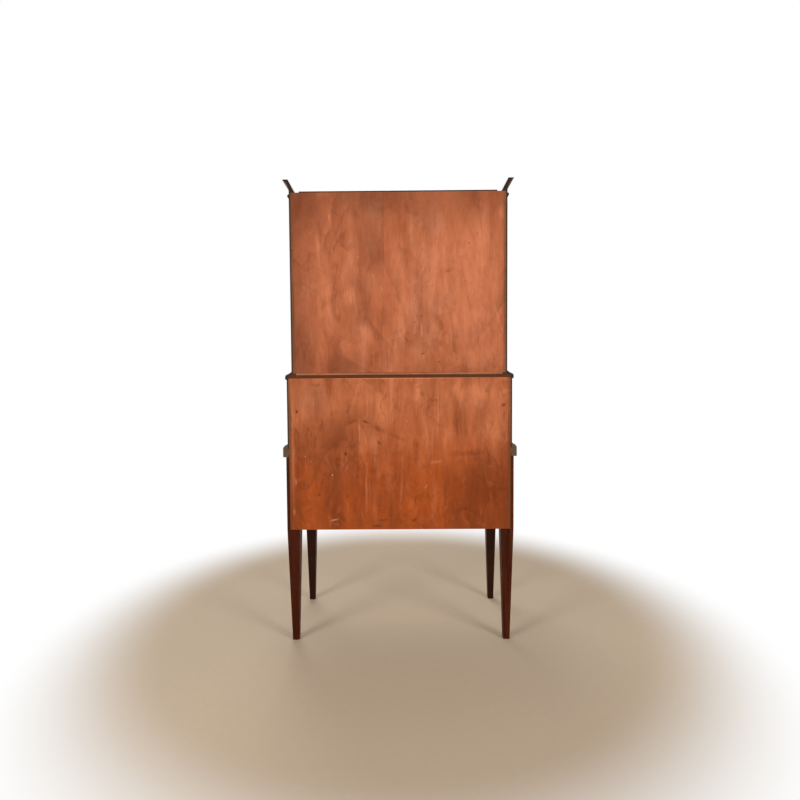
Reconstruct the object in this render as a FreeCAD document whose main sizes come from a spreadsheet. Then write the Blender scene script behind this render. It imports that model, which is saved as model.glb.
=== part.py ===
"""Escritoire: a desk on four tapered legs, a stage of pigeonholes and a glazed bookcase under a cornice.

Millimetres, +Z up, the front towards -Y and the back panels towards +Y. The origin is on the floor, under the
middle of the whole piece. Left is -X and right is +X, as seen by someone who stands in front of the desk.
"""
import FreeCAD, Part
import os
import re

import Sketcher

Vector = FreeCAD.Vector
Rotation = FreeCAD.Rotation
doc = FreeCAD.newDocument("escritoire")

# Driving sizes
SIZES = {
    # Legs, base and desk board
    "desk_width": 915,
    "desk_depth": 448,
    "leg_height": 449,
    "leg_width": 50,
    "foot_width": 25,
    "base_height": 288,
    "board_overhang": 12,
    "board_thickness": 17,
    "case_side_thickness": 14,
    "case_side_setback": 3,
    "case_floor_thickness": 8,
    "tongue_length": 8,
    "tongue_thickness": 6,
    "rail_depth": 20,
    "bottom_rail_height": 22,
    "middle_rail_height": 18,
    "tenon_length": 22,
    "tenon_thickness": 8,
    "upper_tier_height": 116,
    "runner_height": 16,
    "runner_ledge": 18,
    "guide_height": 14,
    # Back panels
    "panel_thickness": 5,
    "panel_margin": 6,
    "panel_ledge": 3,
    "lower_panel_lap": 5.5,
    "upper_panel_rise": 7,
    "notch_relief_width": 3,
    "notch_relief_height": 9,
    "panel_pin_radius": 1.4,
    "panel_pin_length": 14,
    "panel_pin_fit": 0.05,
    "panel_pin_inset": 5,
    # Writing flap and its lopers
    "flap_thickness": 16.5,
    "flap_gap": 0.5,
    "flap_pivot_lead": 0.5,
    "leather_thickness": 1.2,
    "leather_margin": 38,
    "loper_slot_width": 24,
    "loper_cheek": 12,
    "loper_length": 330,
    "loper_slip": 0.6,
    # Stage and its gallery
    "stage_inset": 18.5,
    "stage_depth": 238,
    "stage_height": 269,
    "stage_side_thickness": 18,
    "foot_moulding_height": 16,
    "foot_moulding_edge": 2,
    "foot_moulding_bulge": 3.2,
    "gallery_recess": 14,
    "divider_thickness": 7,
    "partition_thickness": 5,
    "small_tier_height": 82,
    "small_centre_width": 274,
    "valance_height": 30,
    "valance_crown": 9,
    "valance_radius": 46,
    "valance_thickness": 6,
    "valance_recess": 4,
    # Waist between the stage and the bookcase
    "waist_thickness": 18,
    "waist_overhang": 6,
    "waist_nose_radius": 6,
    "waist_moulding_height": 14,
    "waist_moulding_reach": 22,
    "waist_moulding_edge": 1.5,
    "waist_moulding_hollow": 1.6,
    # Bookcase
    "bookcase_inset": 25.5,
    "bookcase_height": 700,
    "bookcase_side_thickness": 18,
    "bookcase_floor_thickness": 22,
    "bookcase_top_thickness": 18,
    "frieze_height": 26,
    "shelf_thickness": 14,
    "shelf_gap": 0.8,
    "first_shelf_rise": 196,
    "second_shelf_rise": 404,
    "shelf_front_clearance": 5,
    "shelf_pin_radius": 3,
    "shelf_pin_fit": 0.05,
    "shelf_pin_length": 16,
    "shelf_pin_depth": 8,
    "shelf_pin_setback": 32,
    "dust_board_thickness": 5,
    "dust_board_inset": 38.5,
    "dust_board_setback": 2,
    # Cornice
    "cornice_height": 50,
    "cornice_reach": 25.5,
    "cornice_foot": 22,
    "cornice_lip": 22,
    "cornice_neck": 11,
    "cornice_hollow": 4.5,
    "bead_height": 14,
    "bead_reach": 6,
    "bead_drop": 6,
    # Doors
    "door_gap": 1.2,
    "door_thickness": 20,
    "door_stile": 42,
    "door_top_rail": 42,
    "door_bottom_rail": 50,
    "glass_thickness": 3,
    "glass_lap": 7,
    "glass_fit": 0.5,
    "glass_bead_depth": 5,
    "bar_width": 10,
    "bar_depth": 9,
    "bar_middle_height": 190,
    "bar_point_height": 110,
    "bar_waist_width": 176,
    "door_leaf_length": 56,
    "door_leaf_width": 22,
    "door_leaf_thickness": 1.5,
    "door_barrel_radius": 3,
    "door_barrel_clearance": 0.2,
    "door_hinge_inset": 84,
    "door_knob_height": 300,
    # Flap hinges
    "flap_leaf_length": 64,
    "flap_leaf_width": 24,
    "flap_leaf_thickness": 1.6,
    "flap_barrel_radius": 3.5,
    "flap_barrel_clearance": 0.4,
    "flap_hinge_inset": 90,
    # Fits that both kinds of hinge share
    "hinge_pin_radius": 1.4,
    "hinge_pin_fit": 0.05,
    "knuckle_gap": 0.3,
    # Long drawers
    "drawer_gap": 1,
    "drawer_slip": 0.3,
    "drawer_front_thickness": 18,
    "drawer_side_thickness": 11,
    "drawer_side_drop": 8,
    "drawer_bottom_thickness": 6,
    "drawer_bottom_rise": 9,
    "drawer_back_gap": 35,
    "cock_bead_width": 3.2,
    "cock_bead_reach": 1.8,
    "upper_pull_offset": 205,
    "lower_pull_offset": 232,
    # Small drawers
    "small_gap": 0.8,
    "small_slip": 0.8,
    "small_front_thickness": 12,
    "small_side_thickness": 7,
    "small_side_drop": 5,
    "small_bottom_thickness": 4,
    "small_bottom_rise": 5,
    "small_back_gap": 23,
    # Bail pulls
    "plate_width": 104,
    "plate_height": 50,
    "plate_thickness": 1.2,
    "post_spacing": 70,
    "post_rise": 8,
    "post_flange_radius": 7,
    "post_flange_height": 2,
    "post_neck_radius": 3.4,
    "post_ball_radius": 6,
    "bail_reach": 15,
    "bail_radius": 2.4,
    "bail_fit": 0.08,
    "bail_shoulder": 0.8,
    "bail_drop": 31,
    "bail_top_bend": 6,
    "bail_bottom_bend": 19,
    "keyhole_plate_width": 17,
    "keyhole_plate_height": 30,
    "keyhole_radius": 2.2,
    # Turned knobs
    "knob_radius": 7,
    "knob_reach": 15,
    "knob_cap_height": 5,
    "knob_stem_radius": 3,
    "knob_stem_height": 6.5,
    "knob_rose_radius": 5.2,
    "knob_rose_height": 1.3,
}

# Lines and levels that several pieces share
PLACES = {
    "half_desk": "desk_width / 2",
    "half_base": "half_desk - board_overhang",
    "post_inner": "half_base - leg_width",
    "back_y": "(desk_depth - board_overhang + bail_reach + post_ball_radius) / 2",
    "front_y": "back_y - desk_depth + board_overhang",
    "board_front": "back_y - desk_depth",
    "panel_front": "back_y - panel_thickness",
    "front_post_back": "front_y + leg_width",
    "rear_post_front": "back_y - leg_width",
    "case_side_outer": "half_base - case_side_setback",
    "case_side_inner": "case_side_outer - case_side_thickness",
    "board_low": "leg_height + base_height",
    "board_top": "board_low + board_thickness",
    "flap_low": "board_top + flap_gap",
    "stage_low": "flap_low + flap_thickness",
    "lower_tier_low": "leg_height + bottom_rail_height",
    "upper_tier_low": "board_low - upper_tier_height",
    "lower_tier_top": "upper_tier_low - middle_rail_height",
    "cheek_outer": "post_inner - loper_slot_width",
    "cheek_inner": "cheek_outer - loper_cheek",
    "half_stage": "half_desk - stage_inset",
    "stage_inner": "half_stage - stage_side_thickness",
    "stage_front": "back_y - stage_depth",
    "gallery_front": "stage_front + gallery_recess",
    "small_tier_top": "stage_low + small_tier_height",
    "gallery_low": "small_tier_top + divider_thickness",
    "small_centre_inner": "small_centre_width / 2",
    "small_centre_outer": "small_centre_inner + divider_thickness",
    "waist_low": "stage_low + stage_height",
    "waist_top": "waist_low + waist_thickness",
    "half_waist": "half_stage + waist_overhang",
    "waist_front": "stage_front - waist_overhang",
    "half_bookcase": "half_waist - bookcase_inset",
    "bookcase_inner": "half_bookcase - bookcase_side_thickness",
    "bookcase_front": "waist_front + bookcase_inset",
    "bookcase_floor": "waist_top + bookcase_floor_thickness",
    "bookcase_roof": "waist_top + bookcase_height",
    "frieze_low": "bookcase_roof - bookcase_top_thickness - frieze_height",
    "lower_panel_half": "half_stage - panel_margin",
    "lower_panel_top": "waist_low + lower_panel_lap",
    "upper_panel_half": "half_bookcase - panel_margin",
    "upper_panel_low": "waist_top + upper_panel_rise",
    "door_low": "bookcase_floor + door_gap",
    "door_top": "frieze_low - door_gap",
    "door_outer": "bookcase_inner - door_gap",
    "door_back": "bookcase_front + door_thickness",
    "sight_inner": "door_gap + door_stile",
    "sight_outer": "door_outer - door_stile",
    "sight_low": "door_low + door_bottom_rail",
    "sight_top": "door_top - door_top_rail",
    "glass_front": "door_back - glass_bead_depth - glass_thickness",
    "door_axis_x": "bookcase_inner - door_gap / 2",
    "door_axis_y": "bookcase_front - door_barrel_radius - door_barrel_clearance",
    "flap_axis_y": "board_front - flap_pivot_lead",
    "flap_axis_z": "board_top + flap_gap / 2",
    "lower_drawer_low": "lower_tier_low + drawer_gap",
    "lower_drawer_top": "lower_tier_top - drawer_gap",
    "upper_drawer_low": "upper_tier_low + drawer_gap",
    "upper_drawer_top": "board_low - drawer_gap",
    "bail_half_width": "post_spacing / 2 + post_ball_radius + bail_shoulder + bail_top_bend",
}

SIDES = ("left", "right")
WORD = re.compile(r"[a-z][a-z_0-9]*")


def expression(formula):
    """Points each size or place that a formula names at its cell."""

    def cell(match):
        word = match.group()
        if word in SIZES:
            return f"sizes.{word}"
        if word in PLACES:
            return f"places.{word}"
        return word

    return WORD.sub(cell, str(formula))


def fill_sheet(name, cells):
    sheet = doc.addObject("Spreadsheet::Sheet", name)
    for row, (alias, content) in enumerate(cells.items(), 1):
        sheet.set(f"A{row}", alias.replace("_", " "))
        sheet.set(f"B{row}", content)
        sheet.setAlias(f"B{row}", alias)
    doc.recompute()
    return sheet


sizes = fill_sheet("sizes", {alias: str(value) for alias, value in SIZES.items()})
places = fill_sheet("places", {alias: "=" + expression(formula) for alias, formula in PLACES.items()})


def value(formula):
    """The number that a formula gives now."""
    return float(places.evalExpression(expression(formula)))


def bind(item, prop, formula):
    item.setExpression(prop, expression(formula))


def put(item, x=0, y=0, z=0, rotation=None):
    """Places a piece by formulas, turned about its own origin."""
    if rotation:
        item.Placement = FreeCAD.Placement(Vector(), rotation)
    for axis, formula in (("x", x), ("y", y), ("z", z)):
        bind(item, f"Placement.Base.{axis}", formula)
    return item


# Building blocks
ALONG_X = Rotation(Vector(0, 1, 0), 90)
TOWARDS_FRONT = Rotation(Vector(1, 0, 0), 90)
UPRIGHT = Rotation(Vector(1, 0, 0), 90)


def block(name, x, y, z):
    """A rectangular piece between two planes on each axis."""
    box = doc.addObject("Part::Box", name)
    for prop, axis, (low, high) in (("Length", "x", x), ("Width", "y", y), ("Height", "z", z)):
        bind(box, prop, f"({high}) - ({low})")
        bind(box, f"Placement.Base.{axis}", low)
    return box


def across(half):
    """From the left to the right at the same distance from the middle."""
    return f"-({half})", half


def beside(side, inner, outer):
    """The same stretch on the left or on the right of the middle."""
    if side == "right":
        return inner, outer
    return f"-({outer})", f"-({inner})"


def signed(side, formula):
    return f"({formula})" if side == "right" else f"-({formula})"


def rod(name, radius, length, x, y, z, rotation=None):
    cylinder = doc.addObject("Part::Cylinder", name)
    bind(cylinder, "Radius", radius)
    bind(cylinder, "Height", length)
    return put(cylinder, x, y, z, rotation)


def joined(name, *pieces):
    fuse = doc.addObject("Part::MultiFuse", name)
    fuse.Shapes = list(pieces)
    return fuse


def grouped(name, pieces):
    group = doc.addObject("Part::Compound", name)
    group.Links = list(pieces)
    return group


def cut(name, base, *tools):
    """The base less every tool."""
    tool = tools[0] if len(tools) == 1 else joined(f"{name}_tools", *tools)
    result = doc.addObject("Part::Cut", name)
    result.Base = base
    result.Tool = tool
    return result


def common(name, *pieces):
    result = doc.addObject("Part::MultiCommon", name)
    result.Shapes = list(pieces)
    return result


def draw_outline(sketch, corners):
    """Draws a closed outline through (u, v) corners.

    A third entry in a corner is the middle point of an arc that leads to the next corner.
    """
    count = len(corners)
    points = [Vector(value(corner[0]), value(corner[1]), 0) for corner in corners]
    starts = []
    for index, corner in enumerate(corners):
        here = points[index]
        there = points[(index + 1) % count]
        if len(corner) == 2:
            edge = sketch.addGeometry(Part.LineSegment(here, there), False)
            starts.append((edge, 1, 2))
            continue
        middle = Vector(value(corner[2][0]), value(corner[2][1]), 0)
        edge = sketch.addGeometry(Part.Arc(here, middle, there), False)
        first_end = sketch.getPoint(edge, 1)
        ends = (1, 2) if first_end.distanceToPoint(here) < first_end.distanceToPoint(there) else (2, 1)
        starts.append((edge, *ends))
    for index, (edge, _start, end) in enumerate(starts):
        next_edge, next_start, _next_end = starts[(index + 1) % count]
        sketch.addConstraint(Sketcher.Constraint("Coincident", edge, end, next_edge, next_start))
    for corner, (edge, start, _end) in zip(corners, starts):
        pin_point(sketch, edge, start, corner[0], corner[1])
        if len(corner) == 3:
            middle = corner[2]
            point = sketch.addGeometry(Part.Point(Vector(value(middle[0]), value(middle[1]), 0)), True)
            pin_point(sketch, point, 1, *middle)
            sketch.addConstraint(Sketcher.Constraint("PointOnObject", point, 1, edge))


def pin_point(sketch, edge, end, u, v):
    for kind, formula in (("DistanceX", u), ("DistanceY", v)):
        index = sketch.addConstraint(Sketcher.Constraint(kind, -1, 1, edge, end, value(formula)))
        bind(sketch, f"Constraints[{index}]", formula)


def length_of(name, corners, length):
    """A straight length of moulding or plate with the outline in its own XY plane."""
    sketch = doc.addObject("Sketcher::SketchObject", f"{name}_outline")
    draw_outline(sketch, corners)
    extrusion = doc.addObject("Part::Extrusion", name)
    extrusion.Base = sketch
    extrusion.DirMode = "Normal"
    extrusion.Solid = True
    bind(extrusion, "LengthFwd", length)
    return extrusion


def turned(name, corners):
    """A turned piece, whose outline of radius and height goes round the Z axis."""
    body = doc.addObject("PartDesign::Body", name)
    sketch = body.newObject("Sketcher::SketchObject", f"{name}_outline")
    plane = next(item for item in body.Origin.OriginFeatures if item.Role == "XZ_Plane")
    sketch.AttachmentSupport = [(plane, "")]
    sketch.MapMode = "FlatFace"
    draw_outline(sketch, corners)
    doc.recompute()
    revolution = body.newObject("PartDesign::Revolution", f"{name}_turning")
    revolution.Profile = sketch
    revolution.ReferenceAxis = (sketch, ["V_Axis"])
    revolution.Angle = 360
    return body


def oval_plate(name, width, height):
    """An upright oval plate, whose back lies on the XZ plane."""
    oval = doc.addObject("Part::Ellipse", f"{name}_oval")
    wide = value(width) > value(height)
    bind(oval, "MajorRadius", f"({width if wide else height}) / 2")
    bind(oval, "MinorRadius", f"({height if wide else width}) / 2")
    plate = doc.addObject("Part::Extrusion", name)
    plate.Base = oval
    plate.DirMode = "Normal"
    plate.Solid = True
    bind(plate, "LengthFwd", "plate_thickness")
    upright = UPRIGHT if wide else UPRIGHT * Rotation(Vector(0, 0, 1), 90)
    return plate, upright


def knob(name, x, y, z):
    """A turned knob that stands out towards the front: a rose, a stem and a head with a round cap."""
    cap_radius = "(knob_cap_height^2 + knob_radius^2) / (2 * knob_cap_height)"
    cap_middle_height = f"knob_reach - {cap_radius} + sqrt(({cap_radius})^2 - (knob_radius / 2)^2)"
    corners = (
        ("0", "0"),
        ("knob_rose_radius", "0"),
        ("knob_rose_radius", "knob_rose_height"),
        ("knob_stem_radius", "2 * knob_rose_height"),
        ("knob_stem_radius", "knob_stem_height"),
        ("knob_radius", "knob_reach - knob_cap_height", ("knob_radius / 2", cap_middle_height)),
        ("0", "knob_reach"),
    )
    return put(turned(name, corners), x, y, z, TOWARDS_FRONT)


nodes = {}


def publish(node, *pieces):
    """Names the piece, or the group of separate pieces, that is one part of the desk."""
    item = pieces[0] if len(pieces) == 1 else grouped(f"{node}_group", pieces)
    item.Label = node
    nodes[node] = item
    return item


# Panel pins and the holes that they fill
def panel_pin_spots():
    """Where pins go through the two back panels, as x and z formulas."""
    spots = []
    for side in SIDES:
        upper_x = signed(side, "upper_panel_half - panel_pin_inset")
        lower_x = signed(side, "lower_panel_half - panel_pin_inset")
        for share in (0.06, 0.28, 0.5, 0.72, 0.94):
            spots.append((upper_x, f"upper_panel_low + (bookcase_roof - upper_panel_low) * {share}"))
        for share in (0.08, 0.36, 0.64, 0.92):
            spots.append((lower_x, f"leg_height + base_height * {share}"))
        for share in (0.2, 0.5, 0.8):
            spots.append((lower_x, f"stage_low + stage_height * {share}"))
    for share in (-0.6, -0.2, 0.2, 0.6):
        spots.append((f"upper_panel_half * {share}", "bookcase_roof - bookcase_top_thickness / 2"))
        spots.append((f"lower_panel_half * {share}", "leg_height + bottom_rail_height / 2"))
    return spots


def pin_set(name, radius, spots):
    pins = []
    for index, (x, z) in enumerate(spots):
        pins.append(rod(f"{name}_{index}", radius, "panel_pin_length", x, "back_y", z, TOWARDS_FRONT))
    return pins


pin_spots = panel_pin_spots()
pins = pin_set("panel_pin", "panel_pin_radius", pin_spots)
pin_holes = grouped("pin_holes", pin_set("pin_hole", "panel_pin_radius + panel_pin_fit", pin_spots))


def drilled(piece):
    """A piece with the holes that the panel pins fill."""
    return cut(f"{piece.Name}_drilled", piece, pin_holes)


# Legs and base
def leg(name, side, y):
    """A square post down to the underside of the case, then a taper on all four faces to the foot."""
    taper = doc.addObject("Part::Wedge", f"{name}_taper")
    inset = "(leg_width - foot_width) / 2"
    for prop, formula in {
        "Xmin": inset, "Xmax": f"leg_width - {inset}", "Zmin": inset, "Zmax": f"leg_width - {inset}",
        "X2min": 0, "X2max": "leg_width", "Z2min": 0, "Z2max": "leg_width", "Ymin": 0, "Ymax": "leg_height",
    }.items():
        bind(taper, prop, formula)
    low_x = beside(side, "post_inner", "half_base")[0]
    put(taper, low_x, y[1], 0, UPRIGHT)
    post = block(f"{name}_post", beside(side, "post_inner", "half_base"), y, ("leg_height", "board_low"))
    return joined(name, taper, post)


def case_side(side):
    """A side panel whose tongues run in grooves of the two posts."""
    z = ("leg_height", "board_low")
    middle = "case_side_inner + case_side_thickness / 2"
    x = beside(side, f"{middle} - tongue_thickness / 2", f"{middle} + tongue_thickness / 2")
    tongue_y = ("front_post_back - tongue_length", "rear_post_front + tongue_length")
    panel_x = beside(side, "case_side_inner", "case_side_outer")
    panel = block(f"base_side_{side}_panel", panel_x, ("front_post_back", "rear_post_front"), z)
    tongue = block(f"base_side_{side}_tongue", x, tongue_y, z)
    return joined(f"base_side_{side}_board", panel, tongue), tongue


def tenoned_rail(name, y, z):
    """A rail between two posts, with a tenon into each of them."""
    low, high = y
    middle = f"(({low}) + ({high})) / 2"
    tenon_y = (f"{middle} - tenon_thickness / 2", f"{middle} + tenon_thickness / 2")
    rail = block(f"{name}_rail", across("post_inner"), y, z)
    tenon = block(f"{name}_tenon", across("post_inner + tenon_length"), tenon_y, z)
    return joined(name, rail, tenon), tenon


front_rail_y = ("front_y", "front_y + rail_depth")
rear_rail_y = ("panel_front - rail_depth", "panel_front")
bottom_z = ("leg_height", "lower_tier_low")
bottom_rail, bottom_tenon = tenoned_rail("bottom_rail", front_rail_y, bottom_z)
middle_rail, middle_tenon = tenoned_rail("middle_rail", front_rail_y, ("lower_tier_top", "upper_tier_low"))
rear_rail, rear_tenon = tenoned_rail("rear_rail", rear_rail_y, bottom_z)
publish("base_rails", bottom_rail, middle_rail, drilled(rear_rail))

panel_y = ("panel_front", "back_y")
for hand in SIDES:
    board, groove = case_side(hand)
    publish(f"base_side_{hand}", board)
    front_post = leg(f"front_post_{hand}", hand, ("front_y", "front_post_back"))
    publish(f"front_leg_{hand}", cut(f"front_leg_{hand}_cut", front_post, groove, bottom_tenon, middle_tenon))
    rear_post = leg(f"rear_post_{hand}", hand, ("rear_post_front", "back_y"))
    rebate_x = beside(hand, "post_inner", "lower_panel_half")
    rebate = block(f"rear_post_{hand}_rebate", rebate_x, panel_y, ("leg_height - panel_ledge", "board_low"))
    rear_cut = cut(f"rear_leg_{hand}_cut", rear_post, groove, rear_tenon, rebate)
    publish(f"rear_leg_{hand}", drilled(rear_cut))

case_floor_y = ("front_y + rail_depth", "panel_front - rail_depth")
case_floor_z = ("leg_height", "leg_height + case_floor_thickness")


def drawer_runners():
    """Ledges that carry the drawers, guides beside the lower one, and cheeks that hold the lopers upright."""
    pieces = []
    between_posts = ("front_post_back", "rear_post_front")
    for side in SIDES:
        lower_x = beside(side, "post_inner - runner_ledge", "case_side_inner")
        lower_z = ("leg_height + case_floor_thickness", "lower_tier_low")
        pieces.append(block(f"lower_runner_{side}", lower_x, between_posts, lower_z))
        guide_z = ("lower_tier_low", "lower_tier_low + guide_height")
        guide_x = beside(side, "post_inner", "case_side_inner")
        pieces.append(block(f"lower_guide_{side}", guide_x, between_posts, guide_z))
        upper_x = beside(side, "cheek_inner - runner_ledge", "case_side_inner")
        upper_z = ("upper_tier_low - runner_height", "upper_tier_low")
        pieces.append(block(f"upper_runner_{side}", upper_x, between_posts, upper_z))
        cheek_x = beside(side, "cheek_inner", "cheek_outer")
        cheek_y = ("front_y", "rear_post_front")
        pieces.append(block(f"loper_cheek_{side}", cheek_x, cheek_y, ("upper_tier_low", "board_low")))
    return pieces


publish("drawer_runners", *drawer_runners())
publish("base_floor", block("case_floor", across("post_inner"), case_floor_y, case_floor_z))


# Hinges, made upright with the fixed leaf on the right and the moving leaf on the left of the pin
def on_axis(name, radius, low, high):
    """A round piece on the hinge's own axis, between two heights."""
    return rod(name, radius, f"({high}) - ({low})", 0, 0, low)


def hinge_halves(name, kind, gap):
    """The two halves of a butt hinge: outer knuckles with the pin, and a middle knuckle that turns on it."""
    length, width = f"{kind}_leaf_length", f"{kind}_leaf_width"
    thickness, radius = f"{kind}_leaf_thickness", f"{kind}_barrel_radius"
    half = f"{length} / 2"
    third = f"{length} / 6"
    near = f"({gap}) / 2"
    far = f"{near} + {thickness}"
    depth = ("0", width)
    swept = f"{radius} + knuckle_gap"
    play = "knuckle_gap / 2"

    fixed_leaf = block(f"{name}_fixed_leaf", (near, far), depth, across(half))
    moving_room = on_axis(f"{name}_moving_room", swept, f"-{third} - {play}", f"{third} + {play}")
    low_knuckle = on_axis(f"{name}_low_knuckle", radius, f"-{half}", f"-{third} - {play}")
    high_knuckle = on_axis(f"{name}_high_knuckle", radius, f"{third} + {play}", half)
    pin = on_axis(f"{name}_pin", "hinge_pin_radius", f"-{half}", half)
    trimmed_leaf = cut(f"{name}_fixed_trim", fixed_leaf, moving_room)
    fixed = joined(f"{name}_fixed", trimmed_leaf, low_knuckle, high_knuckle, pin)

    moving_leaf = block(f"{name}_moving_leaf", (f"-({far})", f"-({near})"), depth, across(half))
    low_room = on_axis(f"{name}_low_room", swept, f"-{half}", f"-{third} + {play}")
    high_room = on_axis(f"{name}_high_room", swept, f"{third} - {play}", half)
    middle = on_axis(f"{name}_middle_knuckle", radius, f"-{third} + {play}", f"{third} - {play}")
    bore = on_axis(f"{name}_bore", "hinge_pin_radius + hinge_pin_fit", f"-{half}", half)
    turning_leaf = cut(f"{name}_moving_trim", moving_leaf, low_room, high_room)
    moving = cut(f"{name}_moving", joined(f"{name}_moving_solid", turning_leaf, middle), bore)
    return fixed, moving


# Desk board, stage bed and writing flap
notch_x = across("lower_panel_half")
board_notch = block("board_notch", notch_x, panel_y, ("board_low", "stage_low"))
reliefs = []
for hand in SIDES:
    relief_x = beside(hand, "lower_panel_half", "lower_panel_half + notch_relief_width")
    relief_z = ("board_low", "board_low + notch_relief_height")
    reliefs.append(block(f"notch_relief_{hand}", relief_x, panel_y, relief_z))

flap_hinge_x = [signed(hand, "half_desk - flap_hinge_inset") for hand in SIDES]
flap_fixed_halves = []
flap_moving_halves = []
board_mortises = []
flap_mortises = []
for index, hinge_x in enumerate(flap_hinge_x):
    fixed_half, moving_half = hinge_halves(f"flap_hinge_{index}", "flap", "flap_gap")
    for half_item, halves in ((fixed_half, flap_fixed_halves), (moving_half, flap_moving_halves)):
        halves.append(put(half_item, hinge_x, "flap_axis_y", "flap_axis_z", ALONG_X))
    leaf_x = (f"{hinge_x} - flap_leaf_length / 2", f"{hinge_x} + flap_leaf_length / 2")
    leaf_y = ("flap_axis_y", "flap_axis_y + flap_leaf_width")
    board_z = ("board_top - flap_leaf_thickness", "board_top")
    flap_z = ("flap_low", "flap_low + flap_leaf_thickness")
    board_mortises.append(block(f"board_mortise_{index}", leaf_x, leaf_y, board_z))
    flap_mortises.append(block(f"flap_mortise_{index}", leaf_x, leaf_y, flap_z))
    room_radius = "flap_barrel_radius + flap_barrel_clearance"
    room_length = "flap_leaf_length + 2 * flap_barrel_clearance"
    room_x = f"{leaf_x[0]} - flap_barrel_clearance"
    room = rod(f"flap_barrel_room_{index}", room_radius, room_length, room_x, "flap_axis_y", "flap_axis_z",
               ALONG_X)
    board_mortises.append(room)
    flap_mortises.append(room)

leather_x = across("half_desk - leather_margin")
leather_y = ("board_front + leather_margin", "stage_front - leather_margin / 2")
board_leather = block("board_leather", leather_x, leather_y, ("board_top - leather_thickness", "board_top"))
flap_leather = block("flap_leather_panel", leather_x, leather_y, ("flap_low", "flap_low + leather_thickness"))

board_slab = block("board_slab", across("half_desk"), ("board_front", "back_y"), ("board_low", "board_top"))
board_cut = cut("board_cut", board_slab, board_notch, board_leather, *reliefs, *board_mortises)
publish("desk_board", board_cut)
publish("desk_leather", board_leather)
publish("flap_hinge_plates", *flap_fixed_halves)

flap_y = ("board_front", "stage_front - flap_gap")
flap_slab = block("flap_slab", across("half_desk"), flap_y, ("flap_low", "stage_low"))
publish("writing_flap", cut("flap_cut", flap_slab, flap_leather, *flap_mortises))
publish("flap_leather", flap_leather)
publish("flap_hinge_straps", *flap_moving_halves)

bed_slab = block("bed_slab", across("half_desk"), ("stage_front", "back_y"), ("board_top", "stage_low"))
publish("stage_bed", cut("bed_cut", bed_slab, board_notch))

# Lopers
for hand in SIDES:
    loper_x = beside(hand, "cheek_outer + loper_slip", "post_inner - loper_slip")
    loper_z = ("upper_tier_low + loper_slip / 2", "board_low - loper_slip")
    bar = block(f"loper_{hand}_bar", loper_x, ("front_y", "front_y + loper_length"), loper_z)
    grip = knob(f"loper_{hand}_knob", signed(hand, "cheek_outer + loper_slot_width / 2"), "front_y",
                "board_low - upper_tier_height / 2")
    publish(f"loper_{hand}", bar, grip)

# Stage: sides, foot mouldings and gallery
for hand in SIDES:
    side_x = beside(hand, "stage_inner", "half_stage")
    side_board = block(f"stage_board_{hand}", side_x, ("stage_front", "back_y"), ("stage_low", "waist_low"))
    rebate_x = beside(hand, "stage_inner", "lower_panel_half")
    rebate = block(f"stage_rebate_{hand}", rebate_x, panel_y, ("stage_low", "waist_low"))
    publish(f"stage_side_{hand}", drilled(cut(f"stage_side_{hand}_cut", side_board, rebate)))


def bowed(start, end, bulge):
    """The middle of an arc between two corners, off its chord by the bulge, on the left of the way along."""
    (u1, v1), (u2, v2) = start, end
    chord = f"sqrt((({u2}) - ({u1}))^2 + (({v2}) - ({v1}))^2)"
    u = f"(({u1}) + ({u2})) / 2 - ({bulge}) * (({v2}) - ({v1})) / {chord}"
    v = f"(({v1}) + ({v2})) / 2 + ({bulge}) * (({u2}) - ({u1})) / {chord}"
    return u, v


FACING = {
    "right": UPRIGHT,
    "left": Rotation(Vector(0, 0, 1), 180) * UPRIGHT,
    "front": Rotation(Vector(0, 0, 1), -90) * UPRIGHT,
}


def side_moulding(name, side, corners, half, depth, low):
    """A moulding along one side of the case, from the back forwards."""
    run = length_of(name, corners, depth)
    start = "back_y" if side == "right" else f"back_y - ({depth})"
    return put(run, signed(side, half), start, low, FACING[side])


def mitre_tools(name, half, front, low, height):
    """Two blocks, turned by 45 degrees, that hold all that lies in front of the two front mitres."""
    tools = []
    for side, angle in (("left", 45), ("right", -45)):
        tool = doc.addObject("Part::Box", f"{name}_{side}")
        bind(tool, "Length", "4 * desk_width")
        bind(tool, "Width", "2 * desk_width")
        bind(tool, "Height", height)
        shift = "2 * desk_width * sqrt(2)"
        x = f"({half}) - {shift}" if side == "right" else f"-({half})"
        y = front if side == "right" else f"({front}) - {shift}"
        tools.append(put(tool, x, y, low, Rotation(Vector(0, 0, 1), angle)))
    return tools


def mitred_moulding(name, corners, reach, height, half, front, low):
    """Three lengths of moulding, mitred at the two front corners and cut square at the back."""
    tools = mitre_tools(f"{name}_mitre", half, front, low, height)
    lengths = []
    depth = f"back_y - ({front}) + ({reach})"
    for side, tool in zip(SIDES, tools):
        run = side_moulding(f"{name}_{side}_run", side, corners, half, depth, low)
        lengths.append(cut(f"{name}_{side}", run, tool))
    front_run = length_of(f"{name}_front_run", corners, f"2 * (({half}) + ({reach}))")
    put(front_run, f"({half}) + ({reach})", front, low, FACING["front"])
    lengths.append(common(f"{name}_front", front_run, *tools))
    return lengths


foot_edge = ("stage_inset", "foot_moulding_edge")
foot_top = ("0", "foot_moulding_height")
foot_profile = (
    ("0", "0"),
    ("stage_inset", "0"),
    (*foot_edge, bowed(foot_edge, foot_top, "-foot_moulding_bulge")),
    foot_top,
)
publish("stage_foot_mouldings", *(
    side_moulding(f"foot_moulding_{hand}", hand, foot_profile, "half_stage", "stage_depth", "stage_low")
    for hand in SIDES
))

# The gallery has three bays: a small drawer below and three pigeonholes above in each
BAYS = {
    "left": ("-stage_inner", "-small_centre_outer"),
    "centre": ("-small_centre_inner", "small_centre_inner"),
    "right": ("small_centre_outer", "stage_inner"),
}
HOLES_PER_BAY = 3


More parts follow.
